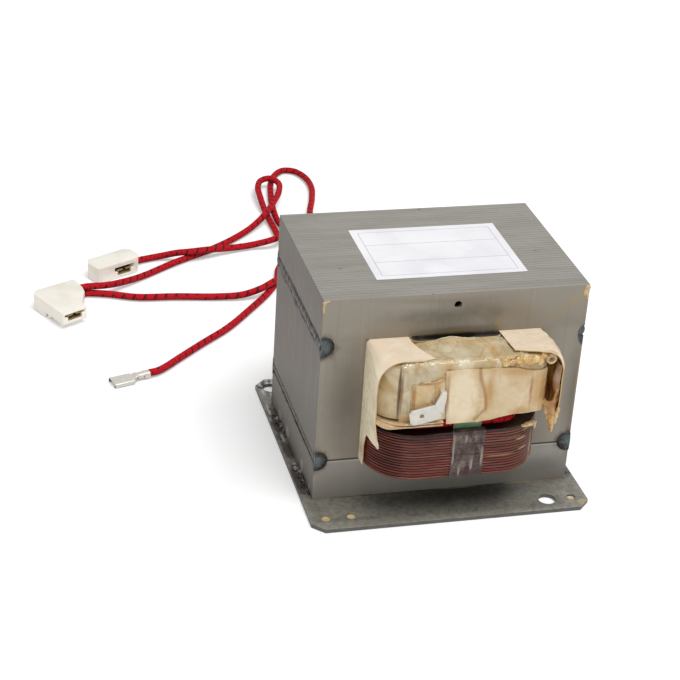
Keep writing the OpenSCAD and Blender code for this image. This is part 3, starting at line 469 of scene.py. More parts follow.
def make_papers(colours):
    """Papers, cards and what has dripped from them."""
    paper("liner", "window liner paper", colours.cream, "#d6c09a", 0.0, 0.03, 0.3, 0.45, 0.05, 0.0, "#fff0ce",
          rim="#a5814d",
          # Brown along the left flap's front edge: partly the paper's soaked edge, partly painted shade under it
          layers=[("#a88a5c", 0.45, (-19, -54.6, 70.2, 7, 0.6, 3, 0.4, 0.9), (-34.4, -40, 26, 2, 5, 5, 0.6, 1.0))])
    paper("right_liner", "right liner paper", colours.cream, "#c79a5c", 0.0, 0.06, 0.15, 0.42, 0.1, 0.2, "#d9bd8c",
          inner="#7e3f10", rim="#c79c5e",
          layers=[("#b58443", 0.7, (32, -54.9, 69.6, 4, 1.4, 2.4, 0.8, 1.0), (36, -54, 64, 3, 3, 4, 0.8, 1.0),
                   (36.6, -54, 44, 4, 4, 6, 0.8, 1.0)),
                  ("#9a6128", 0.75, (34.6, -48, 57, 2.6, 7, 9, 0.5, 1.0))])
    paper("wedge", "soaked paper tip", "#cfa868", "#a8702f", 0.4, 0.4, 0.1, 0.3, 0.3,
          veins=("#9a6426", 0.7, 260.0, 120.0),
          layers=[("#8a4d1a", 0.9, (34.5, -56, 49, 5, 4, 7.5, 0.6, 1.0), (31.8, -56, 46.5, 1.6, 3, 3, 0.6, 1.0))])
    paper("loop", "soaked inner layer", "#8c5822", "#552a0b", 0.6, 0.4, 0.2, 0.4, 0.3,
          veins=("#c8954c", 0.45, 260.0, 60.0))
    paper("wrap", "varnished coil wrap", "#b0a07b", "#a88350", 0.4, 0.6, 0.1, 0.34, 0.4, 0.4,
          veins=("#a67638", 0.38, 90.0, 30.0),
          layers=[("#d8ccb4", 0.5, (-20.5, -56.6, 52, 3.6, 3, 9, 0.9, 1.0), (0, -52, 70, 6, 6, 4, 0.9, 1.0),
                   (10, -50, 70, 5, 6, 4, 0.9, 1.0), (-3, -56.5, 69, 5, 3, 2.6, 0.9, 1.0)),
                  ("#bd9350", 0.75, (-10.2, -56.5, 60, 3.6, 3, 12, 0.5, 1.0), (-8, -56, 67.5, 5, 3, 4, 0.5, 1.0),
                   (20, -56, 68, 13, 6, 4.6, 0.4, 1.0), (25, -55, 64, 8, 6, 6, 0.4, 1.0),
                   (2, -43.5, 70.6, 20, 2.4, 3, 0.8, 1.0), (10.5, -50, 70.6, 4.5, 8, 4, 0.4, 1.0),
                   (-23.4, -56.5, 47.4, 4.0, 3, 2.0, 0.6, 1.0)),
                  # Painted shade along the wrap's left edge
                  ("#6b4824", 0.8, (-25.5, -56.2, 58, 0.7, 3, 15, 0.15, 0.8)),
                  ("#eadfc6", 0.8, (-1, -40.8, 71.4, 20, 0.6, 3, 0.3, 0.6))])
    # Brown down the card's fold, and in the card's last layer down its edges: partly varnish in the crease, partly
    # painted shade
    crease = [(4.0 + 3.4 * eased(k / 13), -57.4, 66.5 - 1.2 * k, 1.15, 3, 2.6, 0.1, 1.0) for k in range(15)]
    crease += [(7.2 - 0.75 * k, -57.4, 49.2 - 0.8 * k, 1.2, 3, 1.3, 0.1, 1.0) for k in range(6)]
    paper("card", "front card", "#c6ac80", "#a8763a", 0.1, 0.3, 0.16, 0.4, 0.25, 0.2,
          veins=("#b08a52", 0.22, 90.0, 30.0),
          layers=[("#e2d1b3", 0.9, (-2.4, -57.4, 55, 7.4, 3, 14, 0.2, 0.5)),
                  ("#cdb894", 0.6, (13.5, -57.4, 56, 6.0, 3, 10, 0.5, 1.0)),
                  ("#b08446", 0.8, (29, -55, 57, 10, 5, 13, 0.4, 1.0), (19, -57.4, 64.6, 15, 3, 4, 0.4, 1.0),
                   (8.4, -57.4, 57, 3.0, 3, 12, 0.3, 1.0), (21, -57.4, 47, 9, 3, 3, 0.5, 1.0)),
                  ("#96622a", 0.8, *crease, (-8.0, -57, 55, 1.1, 3, 14, 0.2, 1.0),
                   (32.2, -52.5, 55, 1.5, 3, 13, 0.2, 1.0), (24.8, -57, 56, 1.0, 3, 11, 0.3, 1.0))])
    paper("coil", "secondary coil paper", "#ad935f", "#9a7d4a", 0.12, 0.08, 0.42, 0.6, 0.1, 0.3,
          # Painted shadow in the gap under the coil's foot
          layers=[("#3d2715", 0.9, (-26, -53, 46.0, 12, 16, 1.1, 0.2, 0.6)),
                  # Painted shade on the coil paper beside the wrap's left edge
                  ("#573818", 0.9, (-26.3, -56, 58, 0.75, 3, 15, 0.1, 0.5)),
                  ("#b88c42", 0.85, (28, -52, 67.5, 10, 7, 5, 0.4, 0.8)),
                  # Painted shade on the coil's top under the left liner's flap
                  ("#6e5430", 0.6, (-30, -50, 69.8, 9, 9, 2.4, 0.3, 1.0))])
    paper("tray", "collar card", "#b9986a", "#6b4a20", 0.3, 0.15, 0.22, 0.5, 0.2, 0.3,
          # Painted shade on the tray under the coil
          layers=[("#4a3018", 0.85, (-20, -50, 45.5, 14.2, 8.4, 5, 0.12, 0.25))])
    paper("amber", "amber patch", "#c5a672", "#a46a26", 0.4, 0.5, 0.12, 0.34, 0.35, 0.35,
          veins=("#a87a40", 0.6, 160.0, 60.0),
          layers=[("#8f5620", 0.85, (-21.0, -57, 56, 1.4, 3, 9, 0.3, 1.0), (-19.4, -57, 49.0, 2.0, 3, 4, 0.4, 1.0),
                   (-12.0, -57, 51, 1.6, 3, 8, 0.4, 1.0), (-16, -57, 61.6, 7, 3, 0.9, 0.3, 1.0))])
    paper("roll", "rolled paper", "#d9c08e", "#9c6a2a", 0.5, 0.2, 0.12, 0.36, 0.25)
    paper("drip", "cream drip", "#bd9f6b", "#80602f", 0.6, 0.2, 0.15, 0.4, 0.2)
    paper("board", "coil former board", "#a5875a", "#6d4a20", 0.4, 0.15, 0.4, 0.7, 0.2)


def metal(key, name, base, shade, grain_scale, rough, metallic, bump=0.1, deep=()):
    """Sheet metal; deep holds the spots that get painted shade, near black."""
    net = Finish(key, name, base)
    grain = net.group("Metal grain", Point=net.point, Scale=grain_scale)
    net.coat(shade, grain["Scuff"], 0.4, 0.7)
    net.coat([c * 0.7 for c in paint(shade)], grain["Grain"], 0.55, 0.8, 0.25)
    if deep:
        net.patch("#1f170f", 0.88, *deep)
    net.finish(net.span(grain["Scuff"], 0.3, 0.7, rough, rough + 0.16), grain["Grain"], bump, 0.0002,
               Metallic=metallic)


def make_materials(colours):
    """Every finish of the transformer."""
    core_steel(colours)
    make_papers(colours)

    # Base plate: dull mottled scale, burnt along the welded sides, with painted shade in front of the core
    net = Finish("plate", "base plate steel", colours.plate)
    grain = net.group("Metal grain", Point=net.point, Scale=0.3)
    mottle, pits = net.noise(420, 6, 0.7), net.noise(1100, 3, 0.6)
    net.coat("#76736a", mottle, 0.36, 0.68)
    net.coat("#a5a298", grain["Grain"], 0.5, 0.75, 0.3)
    # Painted shade on the plate in front of and behind the core
    net.patch("#24231f", 0.86, (6, -40, 1.6, 62, 17, 4, 0.1, 1.0), (0, 40, 1.6, 58, 9, 4, 0.15, 0.8))
    net.coat("#3d3935", pits, 0.62, 0.72, 0.35)
    net.coat("#c2c0b8", pits, 0.32, 0.24, 0.35)
    net.patch(colours.burnt, 0.88, *((s * 53.6, y, 1.6, 3.6, reach, 4, 1.0, 0.6)
                                     for s in (-1, 1) for y, reach in ((-22, 16), (21, 16), (0, 10))))
    net.patch("#6b5a45", 0.6, (-53.8, 2, 1.6, 1.4, 30, 4, 1.0, 0.7), (38, -37.6, 1.6, 16, 1.1, 3, 0.9, 0.6))
    net.patch("#bba77e", 0.6, (53.6, -55.0, 1.6, 3.4, 3.0, 4, 0.3, 0.5))
    # Scratched ear: dark and white streaks, the white partly painted reflection
    scuffs_and_glare = net.mix(net.span(net.noise((500, 160, 300), 3, 0.6, 0.5), 0.42, 0.56), "#3b3a39", "#e2e1de")
    net.patch(scuffs_and_glare, 0.85, (-50.5, 51, 1.6, 8, 9, 3, 0.9, 0.5))
    net.patch("#c4c3bf", 0.75, (-53.4, -12, 1.6, 0.9, 5, 3, 1.0, 0.6), (-53.4, 10, 1.6, 0.9, 5, 3, 1.0, 0.6),
              (-54.6, 33, 1.6, 0.8, 7, 3, 1.0, 0.6))
    # Painted by which way the faces point: painted highlight on the rounded edges, painted shade on the upright edge
    # faces
    net.coat("#c6c4bb", net.up, 0.98, 0.9, 0.35)
    net.coat("#2f2d29", net.up, 0.75, 0.35, 0.75)
    net.patch("#24211d", 0.8, (0, -37.0, 1.6, 56, 0.55, 1.4, 0.6, 0.6))
    net.patch("#a89a80", 0.5, *((x, -37.4, 1.6, 12, 0.6, 1.4, 1.0, 0.6) for x in (8, 34)))
    net.finish(net.span(mottle, 0.3, 0.7, 0.3, 0.5), mottle, 0.2, 0.0003, Metallic=0.45)

    # Weld metal: blue-grey slag with a dark rim, browner along the seam
    net = Finish("weld", "weld metal", colours.weld)
    slag = net.noise(420, 5, 0.65, 0.6)
    net.coat("#2b2e2e", slag, 0.38, 0.62)
    net.coat("#8b9394", net.noise(900, 4, 0.7), 0.54, 0.66, 0.5)
    seam = net.span(net.off(net.z, SEAM_Z * MM), 0.0026, 0.0016)
    ashen = net.span(slag, 0.44, 0.62)
    run = net.times(net.span(net.y, -0.0362, -0.034), net.span(net.y, 0.0385, 0.0365))
    strip = net.mix(seam, net.mix(ashen, "#2c2826", "#4a4541"), net.mix(ashen, "#4f4338", "#74695d"))
    burr = net.mix(net.span(slag, 0.5, 0.64), "#2a2521", net.mix(ashen, "#4f4944", "#8f8c86"))
    net.coat(strip, run, share=0.92)
    net.coat(burr, net.z, 0.010, 0.007)
    rim = net.spots([(s * BLOB_X, y, z, 4.4, 3, 4.5, 0.25, 0.45) for s, y, z in WELD_ENDS])
    net.coat("#241d19", net.times(net.less(1.0, rim), net.less(1.0, run), 0.85))
    # Lighter, greener middle of the blobs, set a little high: partly the weld's own tone, partly painted highlight
    net.patch("#67706f", 0.35, *((s * 51.0, y, z + 0.4, 3.0, 3, 3.0, 0.5, 0.6) for s, y, z in WELD_ENDS))
    net.finish(net.span(slag, 0.3, 0.7, 0.25, 0.5), slag, 0.35, 0.0004, Metallic=0.5)

    # Primary wire: glossy dark red enamel, near black in the shade of the coil above
    net = Finish("enamel", "enamelled copper wire", "#6a342b")
    turn = net.math("FRACT", net.math("DIVIDE", net.less(net.z, TURNS_LOW * MM), TURN_PITCH * MM))
    thick = net.noise(130, 4, 0.6, 0.8)
    net.coat("#6a2b1e", net.z, 0.037, 0.021)
    net.coat("#2c100d", net.noise((40, 40, 420), 2, 0.6), 0.44, 0.66, 0.6)
    # Painted shade between the turns
    net.coat("#1c0807", net.off(turn, 0.5), 0.2, 0.46, 0.9)
    # Painted highlight along each turn, fading to the right
    net.coat("#ae6251", net.times(
        net.span(net.off(turn, 0.62), 0.14, 0.03), net.span(net.noise((60, 60, 500), 2, 0.6), 0.4, 0.62),
        net.span(net.x, 0.028, 0.004, 0.3, 0.85)))
    net.coat("#54402e", thick, 0.58, 0.74, 0.4)
    net.coat("#0d0706", net.z, 0.0376, 0.0390)
    net.coat("#6b5344", net.times(net.span(net.x, 0.012, 0.03), net.span(thick, 0.36, 0.6, 0.25, 0.8), 0.5))
    net.patch("#2a0f0b", 0.6, (-27, -52, 27, 10, 10, 14, 0.2, 1.0))
    net.patch("#ab9672", 0.8, (30.5, -50.5, 27, 1.5, 6, 9, 1.0, 0.8), (33.4, -43, 30, 1.2, 5, 9, 0.8, 0.8),
              (19, -56.4, 34.6, 6, 3, 0.5, 0.9, 0.6), (26, -55, 33.2, 5, 3, 0.5, 0.9, 0.6),
              (29, -53, 36.6, 4, 4, 1.6, 0.9, 0.7), (17, -56.4, 27.5, 8, 3, 0.4, 0.7, 0.6),
              (27, -54.5, 28.4, 5, 4, 0.45, 0.7, 0.6), (33.6, -47, 30, 0.8, 3, 9, 0.4, 0.6))
    net.finish(net.span(thick, 0.4, 0.7, 0.3, 0.44), thick, 0.08, 0.0003,
               Coat_Weight=0.14, Coat_Roughness=0.16, Specular_IOR_Level=0.22)

    # Set varnish: amber lumps that let some light through
    net = Finish("varnish", "set varnish", "#b68d45")
    cloud = net.noise(330, 4, 0.6, 0.5)
    net.coat("#d9c085", cloud, 0.35, 0.68)
    net.coat("#80521a", net.noise(170, 2), 0.5, 0.7, 0.75)
    net.finish(net.span(cloud, 0.3, 0.7, 0.06, 0.18), cloud, 0.25, 0.0004,
               Coat_Weight=0.7, Subsurface_Weight=0.2, Subsurface_Scale=0.0015)

    # Clear tape, greyed by the dark wire behind it
    net = Finish("tape", "clear tape", "#4a3835")
    cloud, band = net.noise((330, 330, 120), 3, 0.55, 0.5), net.noise((30, 30, 330), 2)
    net.coat("#7c6d66", cloud, 0.36, 0.66)
    net.coat("#38292a", band, 0.46, 0.6, 0.6)
    # Paler streaks at the tape's edges and a few spots: crinkled film, partly painted reflection
    edge = net.spots([(x, -56.4, z, 0.7, 3, high, 0.6, 0.7)
                      for x, z, high in ((-3.2, 30, 10), (8.2, 28, 8), (1.5, 36, 3), (4.4, 24, 4), (-0.5, 22, 3))])
    net.coat("#b3a796", edge, share=0.55)
    clear = net.highest(net.span(cloud, 0.3, 0.7, 0.36, 0.66), net.times(edge, 0.8))
    net.finish(0.2, net.plus(cloud, band), 0.2, 0.0004, Alpha=clear, Coat_Weight=0.25, Specular_IOR_Level=0.35)

    # Green cloth tape
    net = Finish("green", "green cloth tape", colours.green)
    wave = {"Vector": net.point, "Scale": 700.0, "Distortion": 0.4}
    cloth = net.times(*(net.add("TexWave", wave, bands_direction=axis).outputs["Fac"] for axis in "XZ"))
    net.coat("#7d9a76", net.noise(200, 4), 0.4, 0.7)
    net.coat("#34543f", cloth, 0.5, 0.0, 0.35)
    net.finish(0.45, cloth, 0.3, 0.0002, Coat_Weight=0.15)

    # Braided sleeve
    net = Finish("braid", "braided red sleeve", "#8d0f1b")
    braid = net.group("Braided sleeve", Turn_and_length=net.uv)
    net.coat(colours.red, braid["Yarn"], 0.15, 0.75)
    net.coat("#e0333f", net.noise(1500, 3, 0.6), 0.5, 0.75, 0.25)
    # Painted shade on the sleeve's underside
    net.coat("#5e0a12", net.up, 0.15, -0.6, 0.6)
    net.coat(colours.fleck, braid["Tracer"], share=0.92)
    net.finish(0.6, braid["Yarn"], 0.4, 0.0003, Specular_IOR_Level=0.1)

    # Bare copper strands at a crimp
    net = Finish("strand", "tinned copper strands", "#77706a")
    turn, along, _ = net.parts(net.uv)
    wave = net.math("SINE", net.plus(net.times(turn, 56.5), net.times(along, 900.0)))
    # Lighter along each strand's crest: painted highlight that follows the relief
    net.coat("#c4beb4", wave, -1.0, 1.0)
    net.finish(0.3, wave, 0.5, 0.0002, Metallic=0.9)

    # Painted shade inside the curls of the bare receptacle's blade
    curls = [spade_place(x, side, 1.08) for side in (-2.8, 2.8) for x in (15.6, 16.4, 17.2)]
    metal("tin", "tinned sheet", colours.tin, "#cbc8c0", 0.5, 0.3, 0.3, 0.05,
          [(*inside, 0.95, 0.95, 0.95, 0.0, 0.2) for inside in curls])
    # Painted shade on the brass deep in the housings' slots
    metal("brass", "brass sheet", colours.brass, "#8f7650", 0.5, 0.35, 0.3, deep=list(slot_places(4.6, 3.6)))
    metal("shunt", "shunt steel", "#6d6a66", "#4a4744", 1.0, 0.4, 0.5)

    # White nylon mouldings, with painted shade inside their slots and painted light on their upright faces
    net = Finish("nylon", "white nylon", colours.nylon)
    cloud, dust = net.noise(90, 3, 0.5), net.noise(1400, 3, 0.7)
    net.coat("#e6dfd1", cloud, 0.35, 0.7)
    # Upright and lower faces painted lighter: painted light
    net.coat("#fff8ee", net.up, 0.6, 0.1, 0.35)
    net.coat("#a89e8c", dust, 0.68, 0.78, 0.25)
    net.patch("#120f0c", 0.96, *slot_places(3.3, 2.9))
    net.finish(net.span(cloud, 0.3, 0.7, 0.34, 0.46), dust, 0.05, 0.0002,
               Subsurface_Weight=0.1, Subsurface_Scale=0.002)

    # Bare label: white film with a thin ruled frame and a ruled band across it
    net = Finish("label", "bare label", colours.label)
    film = net.noise(60, 3)
    net.coat("#e2e1e6", film, 0.35, 0.7)
    across, along = net.off(net.x, LABEL_X * MM), net.off(net.y, LABEL_Y * MM)
    rules = [net.span(net.off(net.highest(net.less(across, 27.0 * MM), net.less(along, half * MM))), 0.00022, 0.00012)
             for half in (19.0, 7.5)]
    net.coat("#8c8c94", net.highest(*rules), share=0.55)
    net.finish(0.3, film, 0.1, 0.0003, Coat_Weight=0.2)


# --- Mesh helpers


def v(x, y, z):
    """Point from millimetres."""
    return Vector((x, y, z)) * MM


def pick(*pieces):
    """Leaves edit mode and selects these pieces alone, with the first one active."""
    if bpy.context.object and bpy.context.object.mode != "OBJECT":
        bpy.ops.object.mode_set(mode="OBJECT")
    bpy.ops.object.select_all(action="DESELECT")
    for piece in pieces:
        piece.select_set(True)
    if pieces:
        bpy.context.view_layer.objects.active = pieces[0]


def start(kind, name, **sizes):
    """Adds a primitive to begin a piece with."""
    pick()
    getattr(bpy.ops.mesh, f"primitive_{kind}_add")(**sizes)
    piece = bpy.context.object
    piece.name = piece.data.name = name
    return piece


def joined(name, pieces):
    """Joins pieces into one of this name."""
    pick(*pieces)
    if len(pieces) > 1:
        bpy.ops.object.join()
    piece = bpy.context.object
    piece.name = piece.data.name = name
    return piece


def modify(piece, kind, **settings):
    """Adds a modifier and applies it."""
    pick(piece)
    made = piece.modifiers.new(kind.lower(), kind)
    for key, value in settings.items():
        setattr(made, key, value)
    bpy.ops.object.modifier_apply(modifier=made.name)


def edit(piece, **steps):
    """Runs the mesh operators that steps name on all of the piece, each with its settings."""
    pick(piece)
    bpy.ops.object.mode_set(mode="EDIT")
    bpy.ops.mesh.select_all(action="SELECT")
    for name, settings in steps.items():
        getattr(bpy.ops.mesh, name)(**settings)
    bpy.ops.object.mode_set(mode="OBJECT")


OUTWARD = {"inside": False}


def tidy_mesh(piece):
    """Places the piece in its mesh, merges doubles and points its faces outwards."""
    pick(piece)
    bpy.ops.object.transform_apply(location=True, rotation=True, scale=True)
    edit(piece, remove_doubles={"threshold": 0.000001}, normals_make_consistent=OUTWARD)


def close_ends(piece):
    edit(piece, fill_holes={"sides": 0}, normals_make_consistent=OUTWARD)


def done(piece, finish, replaces=(), smooth=40):
    """Shades a piece, gives it its finish and fixes it to the body."""
    pick(piece)
    bpy.ops.object.shade_smooth_by_angle(angle=math.radians(smooth))
    piece.data.materials.clear()
    piece.data.materials.append(MATERIALS[finish])
    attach(piece, BODY)
    if replaces:
        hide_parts(*replaces)
    return piece


def finish_node(node, finish):
    """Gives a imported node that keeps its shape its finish."""
    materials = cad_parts[node].data.materials
    materials.clear()
    materials.append(MATERIALS[finish])


def worked_copy(node, name, finish, edge, segments=2):
    """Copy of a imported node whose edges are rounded, which stands for it."""
    piece = bpy.data.objects.new(name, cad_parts[node].data.copy())
    bpy.context.scene.collection.objects.link(piece)
    edit(piece, remove_doubles={"threshold": 0.00001})
    edit(piece, dissolve_limited={"angle_limit": math.radians(1)})
    modify(piece, "BEVEL", width=edge, segments=segments, limit_method="ANGLE", angle_limit=math.radians(32))
    return done(piece, finish, [node], 35)


def laid(name, across, along, place, lengths=None):
    """Starts from a flat grid and lays each of its points where place(u, w) says, in millimetres."""
    piece = start("grid", name, x_subdivisions=across, y_subdivisions=along, size=1)
    for vertex in piece.data.vertices:
        u, w = vertex.co.x + 0.5, vertex.co.y + 0.5
        vertex.co = Vector(place(u, w)) * MM
    if lengths:
        for corner in piece.data.uv_layers[0].data:
            corner.uv = (corner.uv.x * lengths[0], corner.uv.y * lengths[1])
    return piece


def sheet_piece(name, across, along, place, thickness, finish, replaces=(), smooth=60, even=True):
    """Paper, tape or sheet metal: a laid grid with a thickness in metres."""
    piece = laid(name, across, along, place)
    modify(piece, "SOLIDIFY", thickness=thickness, offset=0.0, use_even_offset=even)
    tidy_mesh(piece)
    return done(piece, finish, replaces, smooth)


def ripple(x, y, z, size, seed=0.0):
    """Smooth random height between -1 and 1 for a place in millimetres."""
    return noise.noise(Vector((x / size + seed, y / size - seed, z / size + 2 * seed)))


def eased(t):
    t = min(1.0, max(0.0, t))
    return t * t * (3 - 2 * t)


def hat(x, middle, half):
    """1 in the middle, falling straight to 0 at half away from it."""
    return max(0.0, 1 - abs(x - middle) / half)


def between(marks, at):
    """Values at a place among rising marks, each a place and its values, eased from mark to mark."""
    for a, b in zip(marks, marks[1:]):
        if at <= b[0] + 1e-6:
            t = eased((at - a[0]) / (b[0] - a[0]))
            return [p + (q - p) * t for p, q in zip(a[1:], b[1:])]
    return marks[-1][1:]


def walk(s, x, y, way, steps):
    """Place and way in degrees at length s along runs (length, 0) and turns (radius, degrees) in a plane."""
    for size, turn in steps:
        length = size * math.radians(abs(turn)) if turn else size
        go = min(s, length)
        if turn:
            inward = math.radians(way + math.copysign(90, turn))
            way += turn * go / length
            outward = math.radians(way - math.copysign(90, turn))
            x += size * (math.cos(inward) + math.cos(outward))
            y += size * (math.sin(inward) + math.sin(outward))
        else:
            x += go * math.cos(math.radians(way))
            y += go * math.sin(math.radians(way))
        s -= go
        if s <= 0:
            break
    return x, y, way


def smooth_line(points, step):
    """Even points, step metres apart, on a smooth curve through a route's points."""
    points = [Vector(p) for p in points]
    ends = [2 * points[0] - points[1], *points, 2 * points[-1] - points[-2]]
    fine = []
    for i in range(len(points) - 1):
        p0, p1, p2, p3 = ends[i : i + 4]
        t1 = (p1 - p0).length ** 0.5
        t2 = t1 + (p2 - p1).length ** 0.5
        t3 = t2 + (p3 - p2).length ** 0.5
        for k in range(24):
            t = t1 + (t2 - t1) * k / 24
            a1 = p0 * ((t1 - t) / t1) + p1 * (t / t1)
            a2 = p1 * ((t2 - t) / (t2 - t1)) + p2 * ((t - t1) / (t2 - t1))
            a3 = p2 * ((t3 - t) / (t3 - t2)) + p3 * ((t - t2) / (t3 - t2))
            b1 = a1 * ((t2 - t) / t2) + a2 * (t / t2)
            b2 = a2 * ((t3 - t) / (t3 - t1)) + a3 * ((t - t1) / (t3 - t1))
            fine.append(b1 * ((t2 - t) / (t2 - t1)) + b2 * ((t - t1) / (t2 - t1)))
    fine.append(points[-1])
    lengths = [0.0]
    for a, b in zip(fine, fine[1:]):
        lengths.append(lengths[-1] + (b - a).length)
    count = max(2, round(lengths[-1] / step))
    even, j = [], 0
    for k in range(count + 1):
        want = lengths[-1] * k / count
        while j < len(lengths) - 2 and lengths[j + 1] < want:
            j += 1
        share = (want - lengths[j]) / max(1e-12, lengths[j + 1] - lengths[j])
        even.append(fine[j].lerp(fine[j + 1], min(1.0, max(0.0, share))))
    return even, lengths[-1]


def tube_on(name, line, radius, sides=20, lumps=0.0):
    """Tube of a radius in metres around even points, with turns and metres on its UV map."""
    headings = [(line[min(i + 1, len(line) - 1)] - line[max(i - 1, 0)]).normalized() for i in range(len(line))]
    side = headings[0].cross(Vector((0, 0, 1)))
    if side.length < 0.1:
        side = headings[0].cross(Vector((1, 0, 0)))
    side.normalize()
    rings = []
    for i, heading in enumerate(headings):
        if i:
            side = (headings[i - 1].rotation_difference(heading) @ side)
            side = (side - heading * side.dot(heading)).normalized()
        rings.append((side, heading.cross(side)))
    last = len(line) - 1
    total = sum((b - a).length for a, b in zip(line, line[1:]))

    def place(u, w):
        i = round(w * last)
        a, b = rings[i]
        t = 2 * math.pi * u
        r = radius * (1 + lumps * ripple(line[i].x / MM, line[i].y / MM, line[i].z / MM, 5.0, 3.0))
        return (line[i] + r * (math.cos(t) * a + math.sin(t) * b)) / MM

    piece = laid(name, sides, last, place, (1.0, total))
    tidy_mesh(piece)
    close_ends(piece)
    return piece


def lump(name, balls, finish, replaces=(), voxel=0.35, rough=0.12, cut=()):
    """Set drops or weld metal: balls run together, given as centre and radii in millimetres.
    cut holds planes as point and normal in millimetres, past which nothing is left."""
    parts = []
    for i, (centre, radii) in enumerate(balls):
        parts.append(start("ico_sphere", f"{name}_{i}", subdivisions=4, radius=MM, location=v(*centre)))
        bpy.ops.transform.resize(value=radii)
    piece = joined(name, parts)
    bpy.ops.object.transform_apply(location=True, rotation=True, scale=True)
    modify(piece, "REMESH", mode="VOXEL", voxel_size=voxel * MM)
    modify(piece, "SMOOTH", factor=0.5, iterations=3)
    for vertex in piece.data.vertices:
        x, y, z = vertex.co / MM
        vertex.co += vertex.normal * rough * MM * (ripple(x, y, z, 0.9) + 0.6 * ripple(x, y, z, 0.4, 5.0))
    for point, normal in cut:
        edit(piece, bisect={"plane_co": v(*point), "plane_no": normal, "use_fill": True, "clear_outer": True})
    return done(piece, finish, replaces, 60)


# --- Operators


class Making:
    """What every operator of the transformer has in common."""

    bl_options = {"REGISTER", "UNDO"}

    @property
    def sizes(self):
        return bpy.context.scene.transformer_sizes


def placed(name, data, matrix):
    """Puts a camera or a lamp into the scene."""
    holder = bpy.data.objects.new(name, data)
    holder.matrix_world = matrix
    bpy.context.scene.collection.objects.link(holder)
    return holder


def facing(way):
    return way.to_track_quat("Z", "Y").to_matrix().to_4x4()


class TRANSFORMER_OT_stage(Making, bpy.types.Operator):
    """Camera, floor, lamps and world, and the finishes that the pieces share"""

    bl_idname = "transformer.stage"
    bl_label = "Stage and finishes"

    def execute(self, context):
        scene = context.scene
        azimuth, elevation, roll = (math.radians(a) for a in CAMERA_TURNS)
        back = Vector((math.sin(azimuth) * math.cos(elevation), -math.cos(azimuth) * math.cos(elevation),
                       math.sin(elevation)))
        right = Vector((math.cos(azimuth), math.sin(azimuth), 0))
        up = back.cross(right)
        side = right * math.cos(roll) + up * math.sin(roll)
        top = up * math.cos(roll) - right * math.sin(roll)
        data = bpy.data.cameras.new("camera")
        data.sensor_width = SENSOR
        data.lens = LENS * SENSOR / PICTURE
        data.shift_x, data.shift_y = 0.5 - CENTRE_X / PICTURE, CENTRE_Y / PICTURE - 0.5
        data.clip_start, data.clip_end = 0.05, 20
        turned = Matrix((side, top, back)).transposed().to_4x4()
        scene.camera = placed("camera", data, Matrix.Translation(v(*CAMERA_AT)) @ turned)
        scene.view_settings.view_transform = "Standard"

        floor = start("grid", "floor", x_subdivisions=4, y_subdivisions=4, size=6, location=(0, 0.1, -0.0002))
        net = Finish("floor", "pale floor", None)
        seen = net.add("LightPath").outputs["Is Camera Ray"]
        net.colour = net.mix(seen, (0.93, 0.93, 0.93), (0.78, 0.78, 0.78))
        net.finish(0.9, Specular_IOR_Level=0.0, Emission_Color=net.mix(seen, (0, 0, 0), (1, 1, 1)),
                   Emission_Strength=0.28)
        floor.data.materials.append(MATERIALS["floor"])

        world = scene.world = bpy.data.worlds.new("studio")
        world.use_nodes = True
        world.node_tree.nodes.clear()
        net = Net(world.node_tree)
        rays = net.add("LightPath").outputs
        seen = net.highest(rays["Is Camera Ray"], rays["Is Transmission Ray"])
        strength = net.blend(seen, net.blend(rays["Is Glossy Ray"], 0.42, 0.62), 1.0)
        sky = net.add("Background", {"Color": (1, 1, 1, 1), "Strength": strength})
        net.add("OutputWorld", {0: sky.outputs[0]})

        sun = bpy.data.lights.new("key_lamp", "SUN")
        sun.angle, sun.energy = math.radians(35), 1.75
        placed("key_lamp", sun, facing(Vector((0.16, -0.34, 1.0))))
        for name, place, size, power in (
            ("front_softbox", (-0.35, -1.1, 0.75), 0.32, 2.2), ("top_softbox", (0.45, -0.1, 1.1), 0.4, 2.0),
        ):
            lamp = bpy.data.lights.new(name, "AREA")
            lamp.shape, lamp.size, lamp.energy = "DISK", size, power
            placed(name, lamp, Matrix.Translation(place) @ facing(Vector(place) - Vector((0, 0, 0.05))))

        make_groups()
        make_materials(scene.transformer_colours)
        return {"FINISHED"}


class TRANSFORMER_OT_leads(Making, bpy.types.Operator):
    """The three loose leads in braided sleeves, along their routes"""

    bl_idname = "transformer.leads"
    bl_label = "Leads"

    def execute(self, context):
        radius = self.sizes.sleeve_d / 2
        for name, route, node, ends in (
            ("sleeve_a", LEAD_A, "lead_a", ["housing_a_body", "receptacle_a_body"]),
            ("sleeve_b", LEAD_B, "lead_b", ["housing_b_body", "receptacle_b_body"]),
            ("sleeve_jumper", JUMPER, "jumper_lead", ["spade_body", "spade_strands"]),
        ):
            line, length = smooth_line(route, 0.001)
            piece = tube_on(name, line, radius, 18, 0.015)
            done(piece, "braid", [node])
        return {"FINISHED"}


